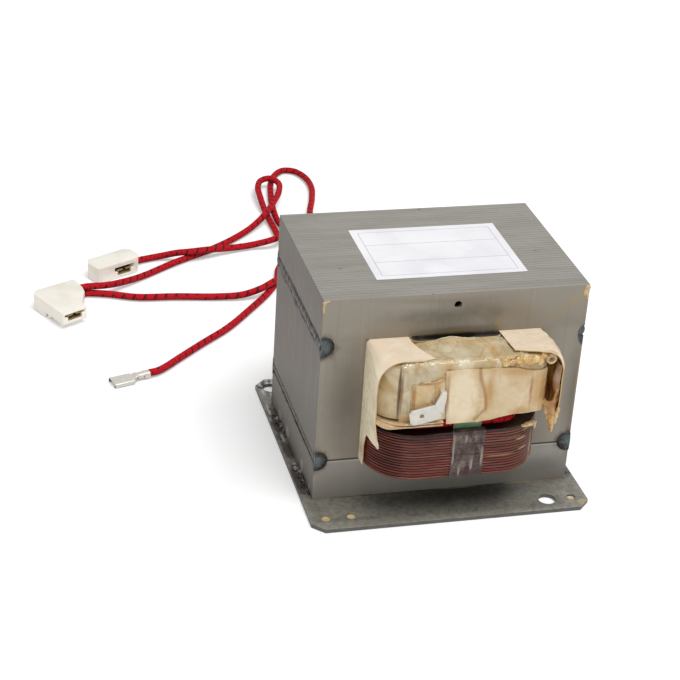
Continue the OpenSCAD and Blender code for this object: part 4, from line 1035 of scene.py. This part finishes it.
class TRANSFORMER_OT_connectors(Making, bpy.types.Operator):
    """White housings with their brass receptacles, and the bare receptacle"""

    bl_idname = "transformer.connectors"
    bl_label = "Connectors"

    def execute(self, context):
        for letter in "ab":
            worked_copy(f"housing_{letter}", f"housing_{letter}_body", "nylon", self.sizes.edge, 3)
            worked_copy(f"receptacle_{letter}", f"receptacle_{letter}_body", "brass", 0.00008)
        self.spade()
        return {"FINISHED"}

    def spade(self):
        """Tinned sheet that is curled around the strands and the sleeve, and at both sides of its blade."""
        stations = (
            # x along, flat half width, curl radius, curl in degrees, height
            (0.0, 0.3, 1.6, 150, 0.4), (2.3, 0.3, 1.6, 150, 0.4), (2.9, 0.7, 1.2, 60, 0.35),
            (3.4, 0.5, 1.2, 145, 0.3), (5.4, 0.5, 1.2, 145, 0.3), (6.2, 1.3, 0.8, 60, 0.2),
            (7.4, 1.6, 0.8, 40, 0.2), (8.0, 2.75, 0.85, 200, 0.2), (9.0, 2.8, 0.88, 235, 0.2),
            (16.6, 2.8, 0.88, 235, 0.2), (17.2, 2.8, 0.88, 225, 0.25),
        )

        def place(u, w):
            x, s = 17.2 * w, 2 * u - 1
            half, radius, curl, rise = between(stations, x)
            reach = abs(s) * (half + radius * math.radians(curl))
            angle = max(0.0, reach - half) / radius
            out, up = min(reach, half) + radius * math.sin(angle), radius * (1 - math.cos(angle))
            dimple = 0.0
            if 11 < x < 14 and reach < 1.3:
                dimple = 0.35 * math.cos(math.pi * (x - 12.5) / 3) * math.cos(math.pi * reach / 2.6)
            # it lies with its flat side up, and its neck dips from the crimps to the blade's end
            top = 3.55 - 0.35 * eased((x - 2.4) / 1.0) - 1.05 * eased((x - 5.4) / 2.6)
            return spade_place(x, math.copysign(out, s), top - rise - up + dimple)

        sheet_piece("spade_body", 40, 70, place, 0.00034, "tin", ["spade_receptacle"], 50, even=False)
        line = [spade_place(x, 0, 1.6) * MM for x in range(7)]
        done(tube_on("spade_strands", line, 0.00095, 16, 0.05), "strand")


class TRANSFORMER_OT_core(Making, bpy.types.Operator):
    """Finishes of the stacked core, its shunts and the coil formers"""

    bl_idname = "transformer.core"
    bl_label = "Core"

    def execute(self, context):
        for node in ("e_core", "i_core"):
            worked_copy(node, f"{node}_body", "core", 0.00018)
        for node in ("left_shunt", "right_shunt"):
            finish_node(node, "shunt")
        for node in ("primary_former", "secondary_former"):
            finish_node(node, "board")
        return {"FINISHED"}


class TRANSFORMER_OT_plate(Making, bpy.types.Operator):
    """Base plate with rolled punched edges and dried varnish in three of its holes"""

    bl_idname = "transformer.plate"
    bl_label = "Base plate"

    def execute(self, context):
        worked_copy("base_plate", "plate_body", "plate", self.sizes.burr)
        for i, (x, y, height) in enumerate(((-49.8, -50.7, 1.0), (-39.8, -50.7, 1.0), (49.8, -50.7, 0.4))):
            def place(u, w):
                r, t = 1.66 * w, 2 * math.pi * u
                return (x + r * math.cos(t), y + r * math.sin(t), height + 0.3 * w * w + 0.1 * ripple(x + r, y, 0, 1))

            sheet_piece(f"hole_varnish_{i}", 24, 5, place, 0.00025, "drip", even=False)
        return {"FINISHED"}


class TRANSFORMER_OT_welds(Making, bpy.types.Operator):
    """Weld beads along the core's edges, their blobs, and the beads on the base plate"""

    bl_idname = "transformer.welds"
    bl_label = "Welds"

    def execute(self, context):
        for side, sign in (("left", -1), ("right", 1)):
            for level, z in (("upper", WELD_Z), ("seam", SEAM_Z)):
                self.bead(f"{level}_bead_{side}", sign, z, f"{level}_weld_{side}")
            self.plate_beads(f"plate_beads_{side}", sign, f"plate_welds_{side}")
        return {"FINISHED"}

    def bead(self, name, sign, z, node):
        """Rippled bead in its groove, drawn ring by ring, with a blob on each end."""
        radius = self.sizes.bead_r / MM
        seed = z * 0.37 + sign
        tall, swing, sunk, drift = (0.7, 0.06, 50.75, 0.1) if z == SEAM_Z else (1.06, 0.16, BLOB_X, 0.3)

        def place(u, w):
            y, t = -36.6 + 75.2 * w, 2 * math.pi * u
            swell = 1 + swing * ripple(y, z, 2 * math.cos(t), 1.6, seed)
            x = sign * (sunk + 0.6 * radius * swell * math.cos(t) + 0.1 * ripple(y, 0, z, 3, seed))
            return (x, y, z + tall * radius * swell * math.sin(t) + drift * ripple(y, 3, z, 4, seed))

        piece = laid(name, 20, 180, place)
        tidy_mesh(piece)
        close_ends(piece)
        done(piece, "weld", [node], 60)
        random.seed(round(abs(z) * 10) + (5 if sign > 0 else 0))
        for end, y, out in (("front", CORE_FRONT, -1), ("back", CORE_BACK, 1)):
            if (sign, y, z) == WORN_END:
                continue
            balls = [((sign * BLOB_X, y + out * 0.05, z), (4.5, 0.75, 4.3))]
            for _ in range(5):
                turn, reach = random.uniform(0, 2 * math.pi), random.uniform(0.8, 2.2)
                balls.append((
                    (sign * (50.8 - abs(reach * math.cos(turn))), y + out * 0.2, z + reach * math.sin(turn)),
                    (random.uniform(1.0, 1.9), random.uniform(0.6, 0.9), random.uniform(1.0, 1.9)),
                ))
            lump(f"{name}_{end}", balls, "weld", (), 0.3, 0.08, [((sign * 51.95, 0, 0), (sign, 0, 0))])

    def plate_beads(self, name, sign, node):
        """Two rows of drops along the core's foot, and what has spattered beside them."""
        balls = []
        random.seed(11 if sign > 0 else 12)
        for middle in (-22.0, 21.0):
            for k in range(23):
                y = middle - 11 + k + random.uniform(-0.3, 0.3)
                size = random.uniform(0.6, 1.25) * (1 - 0.35 * abs(y - middle) / 11)
                balls.append(((sign * random.uniform(52.0, 52.5), y, 1.7 + 0.3 * random.random()),
                              (size, 0.95, size * random.uniform(0.9, 1.4))))
            for _ in range(12):
                balls.append(((sign * (52.9 + 1.6 * random.random()), middle + random.uniform(-13, 13), 1.65),
                              (random.uniform(0.3, 0.7), random.uniform(0.4, 1.0), 0.3)))
        lump(name, balls, "weld", [node], 0.28, 0.12,
             [((sign * CORE_SIDE, 0, 0), (-sign, 0, 0)), ((0, 0, 1.55), (0, 0, -1))])


class TRANSFORMER_OT_primary(Making, bpy.types.Operator):
    """Primary coil with a few turns that stand proud, and its clear tape"""

    bl_idname = "transformer.primary"
    bl_label = "Primary coil"

    def execute(self, context):
        finish_node("primary_coil", "enamel")
        random.seed(4)
        rows = sorted(random.sample(range(17), self.sizes.stray_turns))
        turns = [self.turn(f"turn_{row}", TURNS_LOW + (row + 0.5) * TURN_PITCH, row) for row in rows]
        done(joined("proud_turns", turns), "enamel", (), 60)

        def tape(u, w):
            x, s = -4 + 13 * u + 0.25 * ripple(0, 0, 30 * w, 4, 2), 22.4 * w
            z = min(19.5 + s, 39.45) if s < 19.9 else 39.45
            return (x, COIL_FRONT + max(0.0, s - 19.9) + 0.12 * ripple(x, 0, z, 3, 8) - 0.05, z)

        sheet_piece("clear_tape", 26, 44, tape, 0.00012, "tape", ["primary_tape"])
        return {"FINISHED"}

    def turn(self, name, z, row):
        """One turn of wire, drawn round the coil's outside from the middle of its front."""
        half_x, half_y, corner = 33.52, 56.62, 17.8
        long, deep, bend = (half_x - corner, 0), (2 * (half_y - corner), 0), (corner, 90)
        steps = (long, bend, deep, bend, (2 * long[0], 0), bend, deep, bend, long)
        total = 4 * long[0] + 2 * deep[0] + 2 * math.pi * corner

        def place(u, w):
            t = 2 * math.pi * u
            x, y, way = walk(w % 1.0 * total, 0, -half_y, 0, steps)
            out = 0.1 + 0.1 * ripple(x, y, z, 14, row) + 0.6 * math.cos(t)
            rise = 0.16 * ripple(x, y, z, 17, row + 3.0)
            outward = math.radians(way - 90)
            return (x + math.cos(outward) * out, 1 + y + math.sin(outward) * out, z + rise + 0.6 * math.sin(t))

        piece = laid(name, 10, 150, place)
        tidy_mesh(piece)
        return piece


class TRANSFORMER_OT_secondary(Making, bpy.types.Operator):
    """Secondary coil with its collar, wrap, front card and amber patch"""

    bl_idname = "transformer.secondary"
    bl_label = "Secondary coil"

    def execute(self, context):
        worked_copy("secondary_coil", "coil_body", "coil", 0.0012, 3)
        self.wrap()
        self.collar()
        self.card()
        return {"FINISHED"}

    def wrap(self):
        """Crumpled varnished paper over the coil's front and top, with a ragged back edge."""
        folds = [(random.uniform(-24, 22), random.uniform(-0.5, 0.5), random.uniform(0.5, 1.1),
                  random.uniform(0.15, 0.4)) for _ in range(14)]
        front, edge_r, top = 21.2, 2.6, 13.0
        total = front + math.pi * edge_r / 2 + top

        def place(u, w):
            x, s = -25.8 + 48.9 * u + 0.3 * ripple(0, 0, 40 * w, 6, 1) * (1 - u), w * total
            y, z, way = walk(s, COIL_FRONT, 45.95, 90, ((front, 0), (edge_r, -90), (top, 0)))
            y += 11.25 - math.sqrt(11.25 ** 2 - (x + 23.1) ** 2) if x < -23.1 else 0.0
            back = eased((w - 0.72) / 0.28) * eased((x + 17.5) / 4) * eased((19.5 - x) / 4)
            wave = 1.4 * math.exp(-((x + 2.0) / 6.5) ** 2)
            lift = back * (0.6 + wave + 0.5 * ripple(x, 0, 0, 7, 1.7) + 0.3 * ripple(x, 0, 0, 2.5, 4))
            rough = 0.36 * ripple(x, y, z, 4.2, 2) + 0.16 * ripple(x, y, z, 1.5, 6)
            crease = sum(depth * hat(x, at + lean * (s - 22), wide) for at, lean, wide, depth in folds)
            crease *= eased(s / 8) * eased((40 - s) / 6)
            push = max(-0.1, (rough + crease) * min(1.0, 9 * w))
            outward = math.radians(way + 90)
            return (x, y + math.cos(outward) * push, z + math.sin(outward) * push + lift)

        sheet_piece("coil_wrap", 110, 84, place, self.sizes.wrap_t, "wrap", ["secondary_wrap"])

    def collar(self):
        """Tray of card below the coil, whose lip droops where it shows."""
        worked_copy("secondary_collar", "collar_body", "tray", 0.0001, 1)

        def lip(u, w):
            # the coil's foot on the inside, a squarer line on the outside
            run, r = 14.0, 11.0
            arc = math.pi / 2 * r
            s = w * (run + arc)
            a = max(0.0, s - run) / r
            x0, y0 = -9.2 - min(s, run) - (r - 0.3) * math.sin(a), -45.2 - (r - 0.3) * math.cos(a)
            x1 = -9.2 - s * 1.02 if s < run + 6 else max(-34.0, -9.2 - s * 1.02)
            y1 = -58.9 + 13.5 * eased((max(0.0, (s - run) / arc) - 0.35) / 0.65)
            x, y = x0 + (x1 - x0) * u, y0 + (y1 - y0) * u
            droop = -1.7 * u ** 1.3 + 0.5 * eased((u - 0.75) / 0.25)
            return (x, y, 45.75 + droop + 0.12 * ripple(x, y, 0, 4, 9) * u)

        sheet_piece("collar_lip", 12, 50, lip, self.sizes.card_t, "tray")

    def card(self):
        """Card bowed over the front, folded near its left end and bent round the coil's right corner."""

        def place(u, w):
            left, right = -7.4 - 1.9 * w, 32.3 - 0.5 * w
            x = left + (right - left) * u
            low = 43.9 + 2.6 * eased((x - 4) / 20) - 1.6 * eased((x - 24) / 9)
            high = 66.3 + 0.3 * eased((8 - x) / 8) - 3.3 * eased((x - 14) / 18)
            z = low + (high - low) * w
            bend = 11.9 - math.sqrt(max(1.0, 11.9 ** 2 - (x - 23.1) ** 2)) if x > 23.1 else 0.0
            out = 0.3 * math.sin(math.pi * w) * math.sin(math.pi * u) + 0.45 * hat(x, 5.6 - 2.6 * abs(w - 0.4), 1.0)
            out += 0.15 * hat(x, 14 - 4 * w, 0.8) + 0.35 * hat(x, left + 1.2, 1.0) - 0.24 * hat(x, 21.5 + 6 * w, 1.2)
            out += abs(0.16 * ripple(x, 0, z, 4.5, 1) + 0.06 * ripple(x, 0, z, 1.6, 3))
            return (x, -56.95 + bend - out, z + 0.25 * ripple(x, 0, 0, 4, 7) * (2 * w - 1))

        sheet_piece("card_body", 96, 50, place, self.sizes.card_t, "card", ["front_card"])

        def amber(u, w):
            x, z = -21.7 + 12.6 * u, 46.9 + (14.6 + 1.8 * u) * w
            x += 0.5 * ripple(z, 0, 0, 3, 1) * (1 - 2 * u)
            z += 0.6 * ripple(x, 0, 0, 3, 2) * (2 * w - 1)
            return (x, -56.9 - 0.3 * abs(ripple(x, 0, z, 2.5, 4)), z)

        sheet_piece("amber_body", 30, 36, amber, 0.00018, "amber", ["amber_patch"])


class TRANSFORMER_OT_liners(Making, bpy.types.Operator):
    """Papers that line the two windows and stand out in front of the core, and the rolled tube"""

    bl_idname = "transformer.liners"
    bl_label = "Window liners"

    def execute(self, context):
        self.left()
        self.right()
        self.roll()
        return {"FINISHED"}

    def left(self):
        """Runs down the leg, over a corner that opens towards the front, and along the yoke."""
        t = self.sizes.paper_t
        leg, low, full = -34.45, 19.2, 66.8
        # length from the bar, and how far the front edge stands out of the core there
        marks = (
            (0.0, 5.0), (8.0, 5.6), (13.0, 6.6), (15.4, 8.0), (16.3, 20.8), (17.4, 22.0), (20.5, 20.6),
            (26.5, 18.3), (34.0, 18.0), (46.0, 18.4), (54.0, 18.6), (61.0, 18.3), (full, 17.0),
        )

        def section(s, corner):
            """Place on the section at length s from the bar, for a corner radius."""
            return walk(s, leg, low, 90, ((YOKE_Z - low - corner, 0), (corner, -90), (full, 0)))[:2]

        def place(u, w):
            s = full * u
            out = between(marks, s)[0] * w
            s = (full + 3.0 * w * w) * u if s > 30 else s + 3.0 * w * w * u * eased((s - 20) / 10)
            x, z = section(s, 1.6 + 7.5 * (out / 18.0) ** 2.2)
            y = CORE_FRONT - out
            flap = eased((s - 52) / 12)
            x += 0.35 * ripple(0, y, z, 9, 2) * w * (1 - flap) + 1.1 * eased((43 - z) / 8) * eased((out - 12) / 9)
            z += 0.3 * ripple(x, y, 0, 8, 6) * w * flap - 0.5 * w ** 3 * eased((s - 55) / 12)
            return (x, y, z)

        sheet_piece("left_liner_front", 150, 30, place, t, "liner", ["left_slot_liner"], even=False)

        def inside(u, w):
            x, z = section(70.5 * u, 1.6)
            return (x, CORE_FRONT + (CORE_DEPTH + (5.0 if z < 70.7 and x < leg + 0.5 else 0.0)) * w, z)

        sheet_piece("left_liner_inside", 70, 6, inside, t, "liner")
        self.flat("left_liner_foot", -34.6, 17.2, BAR_Z)

    def flat(self, name, x, wide, z):
        """Strip of the liner that lies flat on the bar or under the yoke."""

        def place(u, w):
            return (x + wide * u, CORE_FRONT + CORE_DEPTH * w, z)

        sheet_piece(name, 4, 6, place, self.sizes.paper_t * 0.8, "liner")

    def right(self):
        """Stands on the window's leg, bellies out in front of the core and ends in a tip at the coil."""
        # how far out of the core: where the paper stands there, seen from above
        plan = ((0.0, 34.5), (4.5, 35.9), (9.0, 37.3), (13.5, 37.9), (17.0, 37.9), (20.3, 36.9))
        # height: near and far ends of the paper in front of the core, from its lower tip up
        tip = 35.6
        near = ((35.6, 16.9), (38.0, 15.2), (40.5, 12.5), (44.5, 6.0), (47.0, 0.0), (99.0, 0.0))
        far = ((35.6, 17.0), (37.5, 17.8), (40.0, 18.6), (44.5, 19.4), (60.0, 19.8), (66.5, 18.6), (99.0, 17.8))

        def place(u, w):
            # the last three tenths lie under the yoke
            rise, flap = min(1.0, u / 0.7), max(0.0, u - 0.7) / 0.3
            height = tip + (70.75 - tip) * rise
            first, last = between(near, height)[0], between(far, height)[0]
            last += (15.6 - last) * flap
            out = first + (last - first) * w
            corner = 1.3 + 6.4 * (out / 18) ** 1.4
            up = 70.75 - tip - corner
            steps = ((up, 0), (corner, 90))
            x, z, _ = walk((up + math.pi / 2 * corner) * rise, between(plan, out)[0], tip, 90, steps)
            x += (17.2 + 1.2 * out / 16 - x) * flap
            y = CORE_FRONT - out
            if z < 66:
                x += 0.3 * ripple(0, y, z, 6, 4)
            x -= 1.5 * eased((47 - z) / 11) * eased(out / 14)
            if u > 0.75:
                z += 0.2 * ripple(x, y, 0, 6, 1) * w
            return (min(x, 37.95), y, z)

        t = self.sizes.paper_t
        sheet_piece("right_liner_front", 150, 34, place, t, "right_liner", ["right_slot_liner"],
                    even=False)

        def wedge(u, w):
            # soaked tip, folded to the front below the coil's card
            left_x, left_z = 31.6 + 3.6 * w, 48.6 - 12.2 * w
            right_x, right_z = 37.4 - 1.9 * w * w, 56.0 - 19.4 * w
            x = left_x + (right_x - left_x) * u
            z = left_z + (right_z - left_z) * u - 1.6 * math.sin(math.pi * u) * (1 - w)
            belly = 2.2 * math.sin(math.pi * min(1.0, u * 1.1))
            return (x, -54.4 - belly + 0.5 * ripple(x, 0, z, 2.2, 5) + 0.8 * (1 - w) * (1 - u), z)

        sheet_piece("right_liner_tip", 26, 40, wedge, 0.0006, "wedge")

        def loop(u, w):
            # inner layer that curls off the band beside the coil
            z = 49.0 + 15.0 * w
            x = 37.3 - (0.5 + 1.7 * math.sin(math.pi * min(1.0, max(0.0, w)))) * math.sin(math.pi * (0.15 + 0.8 * u))
            return (x, -50.6 - 4.6 * u + 0.25 * ripple(0, x, z, 3, 2), z)

        sheet_piece("right_liner_loop", 20, 36, loop, 0.0005, "loop")

        def inside(u, w):
            s = 69.0 * u
            y = CORE_FRONT + CORE_DEPTH * w
            if s < 17.2:
                return (17.4 + s, y, BAR_Z)
            if s < 68.6:
                return (34.45, y + 5.0 * w, BAR_Z + s - 17.2)
            return (34.45, y, 70.6)

        sheet_piece("right_liner_inside", 60, 6, inside, t * 0.8, "liner")
        self.flat("right_liner_top", 17.4, 17.0, YOKE_Z)

    def roll(self):
        """Paper wound two and a half times into a tube, its mouth to the front."""

        def place(u, w):
            turn = 2 * math.pi * 2.4 * u
            r = 1.15 + 1.05 * u + 0.05 * math.sin(5 * turn)
            y = -48.6 - (6.3 - 0.5 * u) * w
            return (32.7 + r * math.cos(turn + 0.6), y, 67.0 + r * math.sin(turn + 0.6))

        sheet_piece("paper_roll", 84, 12, place, 0.00026, "roll", ["rolled_paper_tube"])


class TRANSFORMER_OT_filament(Making, bpy.types.Operator):
    """Two sleeved turns around the centre limb, and the green tape that binds them"""

    bl_idname = "transformer.filament"
    bl_label = "Filament winding"

    def execute(self, context):
        piece = tube_on("filament_sleeve", self.centre_line(), self.sizes.sleeve_d / 2 - 0.00002, 18, 0.012)
        done(piece, "braid", ["filament_winding"])
        r, up, deep = 1.5, 1.82, 3.97
        total = 2 * up + math.pi * r + deep

        def tape(u, w):
            x = -3 + 11 * u + 0.2 * ripple(0, 0, 40 * w, 3, 4)
            y, z, _ = walk(w * total, -53.42, 39.3, 90, ((up, 0), (r, -90), (deep, 0), (r, -90), (up, 0)))
            return (x, y, z + 0.05 * ripple(x, y, z, 2, 5))

        sheet_piece("green_tape", 22, 40, tape, 0.0002, "green", ["winding_tape"])
        return {"FINISHED"}

    @staticmethod
    def centre_line():
        """The wire's path, walked as the part's source walks it: straight runs and turns on a radius."""
        wire, gap, bend, exit_y, exit_a, exit_b = 3.2, 0.1, 3.2, 58.0, 8.0, -6.0
        inner_x, inner_y, inner_r = 17.3 + 0.4 + wire / 2, 38 + 11.2, 3.0
        shift = wire + gap
        outer_y, outer_r = inner_y + shift, inner_r + shift
        side, end, corner = 2 * (inner_y - inner_r), 2 * (inner_x - inner_r), inner_x - inner_r
        jog_r, jog_x = 5.0, -3.0
        jog = math.degrees(math.acos(1 - shift / (2 * jog_r)))
        jog_l = 2 * jog_r * math.sin(math.radians(jog))
        rise = math.degrees(math.acos(1 - shift / (2 * bend)))
        rise_l = 2 * bend * math.sin(math.radians(rise))
        steps = [
            (exit_y - 1 - outer_y - bend,), (bend, 90, 0), (corner - exit_a - bend,), (outer_r, 90, 180),
            (side,), (outer_r, 90, 180), (end,), (outer_r, 90, 180), (side,), (outer_r, 90, 180),
            (corner + jog_x,), (jog_r, jog, 180), (jog_r, jog, 0), (corner - jog_x - jog_l,), (inner_r, 90, 180),
            (side,), (inner_r, 90, 180), (end,), (inner_r, 90, 180), (side,), (inner_r, 90, 180),
            (bend, rise, 90), (bend, rise, -90), (corner + exit_b - rise_l - bend,), (bend, 90, 0),
            (exit_y - 1 - inner_y - bend,),
        ]
        at = Vector((exit_a, exit_y, 40.85))
        ahead, left, up = Vector((0, -1, 0)), Vector((1, 0, 0)), Vector((0, 0, 1))
        points = [at.copy()]
        for step in steps:
            if len(step) == 1:
                count = max(1, round(step[0]))
                for k in range(count):
                    at = at + ahead * (step[0] / count)
                    points.append(at.copy())
                continue
            radius, angle, roll = step
            rolled = left * math.cos(math.radians(roll)) + up * math.sin(math.radians(roll))
            axis = ahead.cross(rolled)
            centre = at + rolled * radius
            count = max(4, round(radius * math.radians(angle) / 0.6))
            for k in range(1, count + 1):
                turned = Matrix.Rotation(math.radians(angle) * k / count, 3, axis)
                points.append(centre + turned @ (at - centre))
            turned = Matrix.Rotation(math.radians(angle), 3, axis)
            at, ahead, left, up = points[-1].copy(), turned @ ahead, turned @ left, turned @ up
        return [p * MM for p in points]


class TRANSFORMER_OT_tabs(Making, bpy.types.Operator):
    """High-voltage tab, the supply's tabs on their card, and the ground strip"""

    bl_idname = "transformer.tabs"
    bl_label = "Tabs"

    def execute(self, context):
        burr = self.sizes.burr
        worked_copy("high_voltage_tab", "front_tab", "tin", burr)
        for side in ("left", "right"):
            worked_copy(f"primary_tab_{side}", f"supply_tab_{side}", "tin", burr)
        worked_copy("ground_strip", "ground_strip_body", "tin", 0.00008)
        worked_copy("primary_card", "back_card", "board", 0.0002)
        lump("ground_weld_body", [((22, 39.45, 76.95), (1.9, 0.42, 1.9)), ((21.2, 39.6, 77.5), (0.8, 0.35, 0.7))],
             "weld", ["ground_weld"], 0.22, 0.06)
        return {"FINISHED"}


class TRANSFORMER_OT_varnish(Making, bpy.types.Operator):
    """Drops and lumps of set varnish on the papers, the coil and the core"""

    bl_idname = "transformer.varnish"
    bl_label = "Varnish"

    def execute(self, context):
        random.seed(23)
        row = []
        for k in range(17):
            x = 12.5 + 1.18 * k
            back = 11.0 - math.sqrt(max(1.0, 121 - (x - 23.1) ** 2)) if x > 23.1 else 0.0
            big = 1.0 if k % 2 else 0.6
            row.append(((x, -56.5 + back + random.uniform(-0.3, 0.3), 68.0 + random.uniform(-1.1, 1.2)),
                        (big * random.uniform(1.4, 1.8), big * random.uniform(1.2, 1.5),
                         big * random.uniform(1.5, 2.2))))
        tip = [((36.6, -56.2, 43.5), (0.9, 0.9, 1.8)), ((36.2, -56.0, 41.0), (1.0, 0.9, 1.6)),
               ((36.9, -56.6, 45.8), (0.7, 0.8, 1.5)), ((35.7, -55.0, 38.6), (0.8, 0.8, 1.6)),
               ((34.6, -54.6, 42.0), (1.6, 0.6, 1.6)), ((33.4, -54.2, 44.3), (1.5, 0.6, 1.2))]
        coil = [((27.0, -53.7, 38.9), (2.0, 1.4, 0.8)), ((29.0, -52.3, 38.6), (1.8, 1.4, 0.9)),
                ((25.0, -54.6, 38.9), (1.6, 1.0, 0.5)), ((30.4, -50.6, 37.6), (1.0, 1.2, 1.4)),
                ((30.9, -50.0, 35.8), (0.6, 0.8, 1.5))]
        left = [((-51.5, -36.85, 87.2), (0.9, 0.4, 0.9)), ((-51.7, -36.85, 84.8), (0.5, 0.35, 2.2)),
                ((-50.2, -36.95, 87.7), (0.8, 0.25, 0.4))]
        right = [((51.2, -36.95, 87.0), (1.2, 0.35, 1.3)), ((50.7, -36.95, 85.0), (1.1, 0.28, 1.5)),
                 ((51.6, -36.9, 83.4), (0.5, 0.3, 1.6))]
        for name, balls, finish, slot, voxel, rough in (
            ("shoulder_varnish", row, "varnish", "amber_paper", 0.26, 0.08),
            ("tip_varnish", tip, "varnish", "amber_paper", 0.3, 0.12),
            ("coil_varnish", coil, "drip", "amber_paper", 0.3, 0.1),
            ("left_corner_drop", left, "drip", "cream_paper", 0.2, 0.06),
            ("right_corner_drop", right, "drip", "amber_paper", 0.22, 0.06),
        ):
            lump(name, balls, finish, (), voxel, rough)
        return {"FINISHED"}


class TRANSFORMER_OT_label(Making, bpy.types.Operator):
    """Bare label on the top of the core"""

    bl_idname = "transformer.label"
    bl_label = "Label"

    def execute(self, context):
        def place(u, w):
            corner = max(0.0, abs(u - 0.5) + abs(w - 0.5) - 0.93)
            return (LABEL_X + 60 * (u - 0.5), LABEL_Y + 44 * (w - 0.5), 88.37 + 0.72 * corner)

        sheet_piece("label_film", 40, 30, place, 0.00009, "label", ["label"])
        return {"FINISHED"}


OPERATORS = (
    TRANSFORMER_OT_stage, TRANSFORMER_OT_leads, TRANSFORMER_OT_connectors, TRANSFORMER_OT_core,
    TRANSFORMER_OT_plate, TRANSFORMER_OT_welds, TRANSFORMER_OT_primary, TRANSFORMER_OT_secondary,
    TRANSFORMER_OT_liners, TRANSFORMER_OT_filament, TRANSFORMER_OT_tabs, TRANSFORMER_OT_varnish,
    TRANSFORMER_OT_label,
)


class TRANSFORMER_PT_panel(bpy.types.Panel):
    """Lists the steps that dress the transformer"""

    bl_label = "Transformer"
    bl_idname = "TRANSFORMER_PT_panel"
    bl_space_type = "VIEW_3D"
    bl_region_type = "UI"
    bl_category = "Transformer"

    def draw(self, context):
        for operator in OPERATORS:
            self.layout.operator(operator.bl_idname)
        for group in (context.scene.transformer_sizes, context.scene.transformer_colours):
            for name in group.__annotations__:
                self.layout.prop(group, name)


CLASSES = (TransformerSizes, TransformerColours, *OPERATORS, TRANSFORMER_PT_panel)


def register():
    for each in CLASSES:
        bpy.utils.register_class(each)
    bpy.types.Scene.transformer_sizes = PointerProperty(type=TransformerSizes)
    bpy.types.Scene.transformer_colours = PointerProperty(type=TransformerColours)


def unregister():
    del bpy.types.Scene.transformer_sizes, bpy.types.Scene.transformer_colours
    for each in reversed(CLASSES):
        bpy.utils.unregister_class(each)


def main():
    register()
    # The connectors are made before the leads
    bpy.ops.transformer.stage()
    bpy.ops.transformer.connectors()
    bpy.ops.transformer.leads()
    for operator in OPERATORS[3:]:
        category, name = operator.bl_idname.split(".")
        getattr(getattr(bpy.ops, category), name)()


if __name__ == "__main__":
    main()
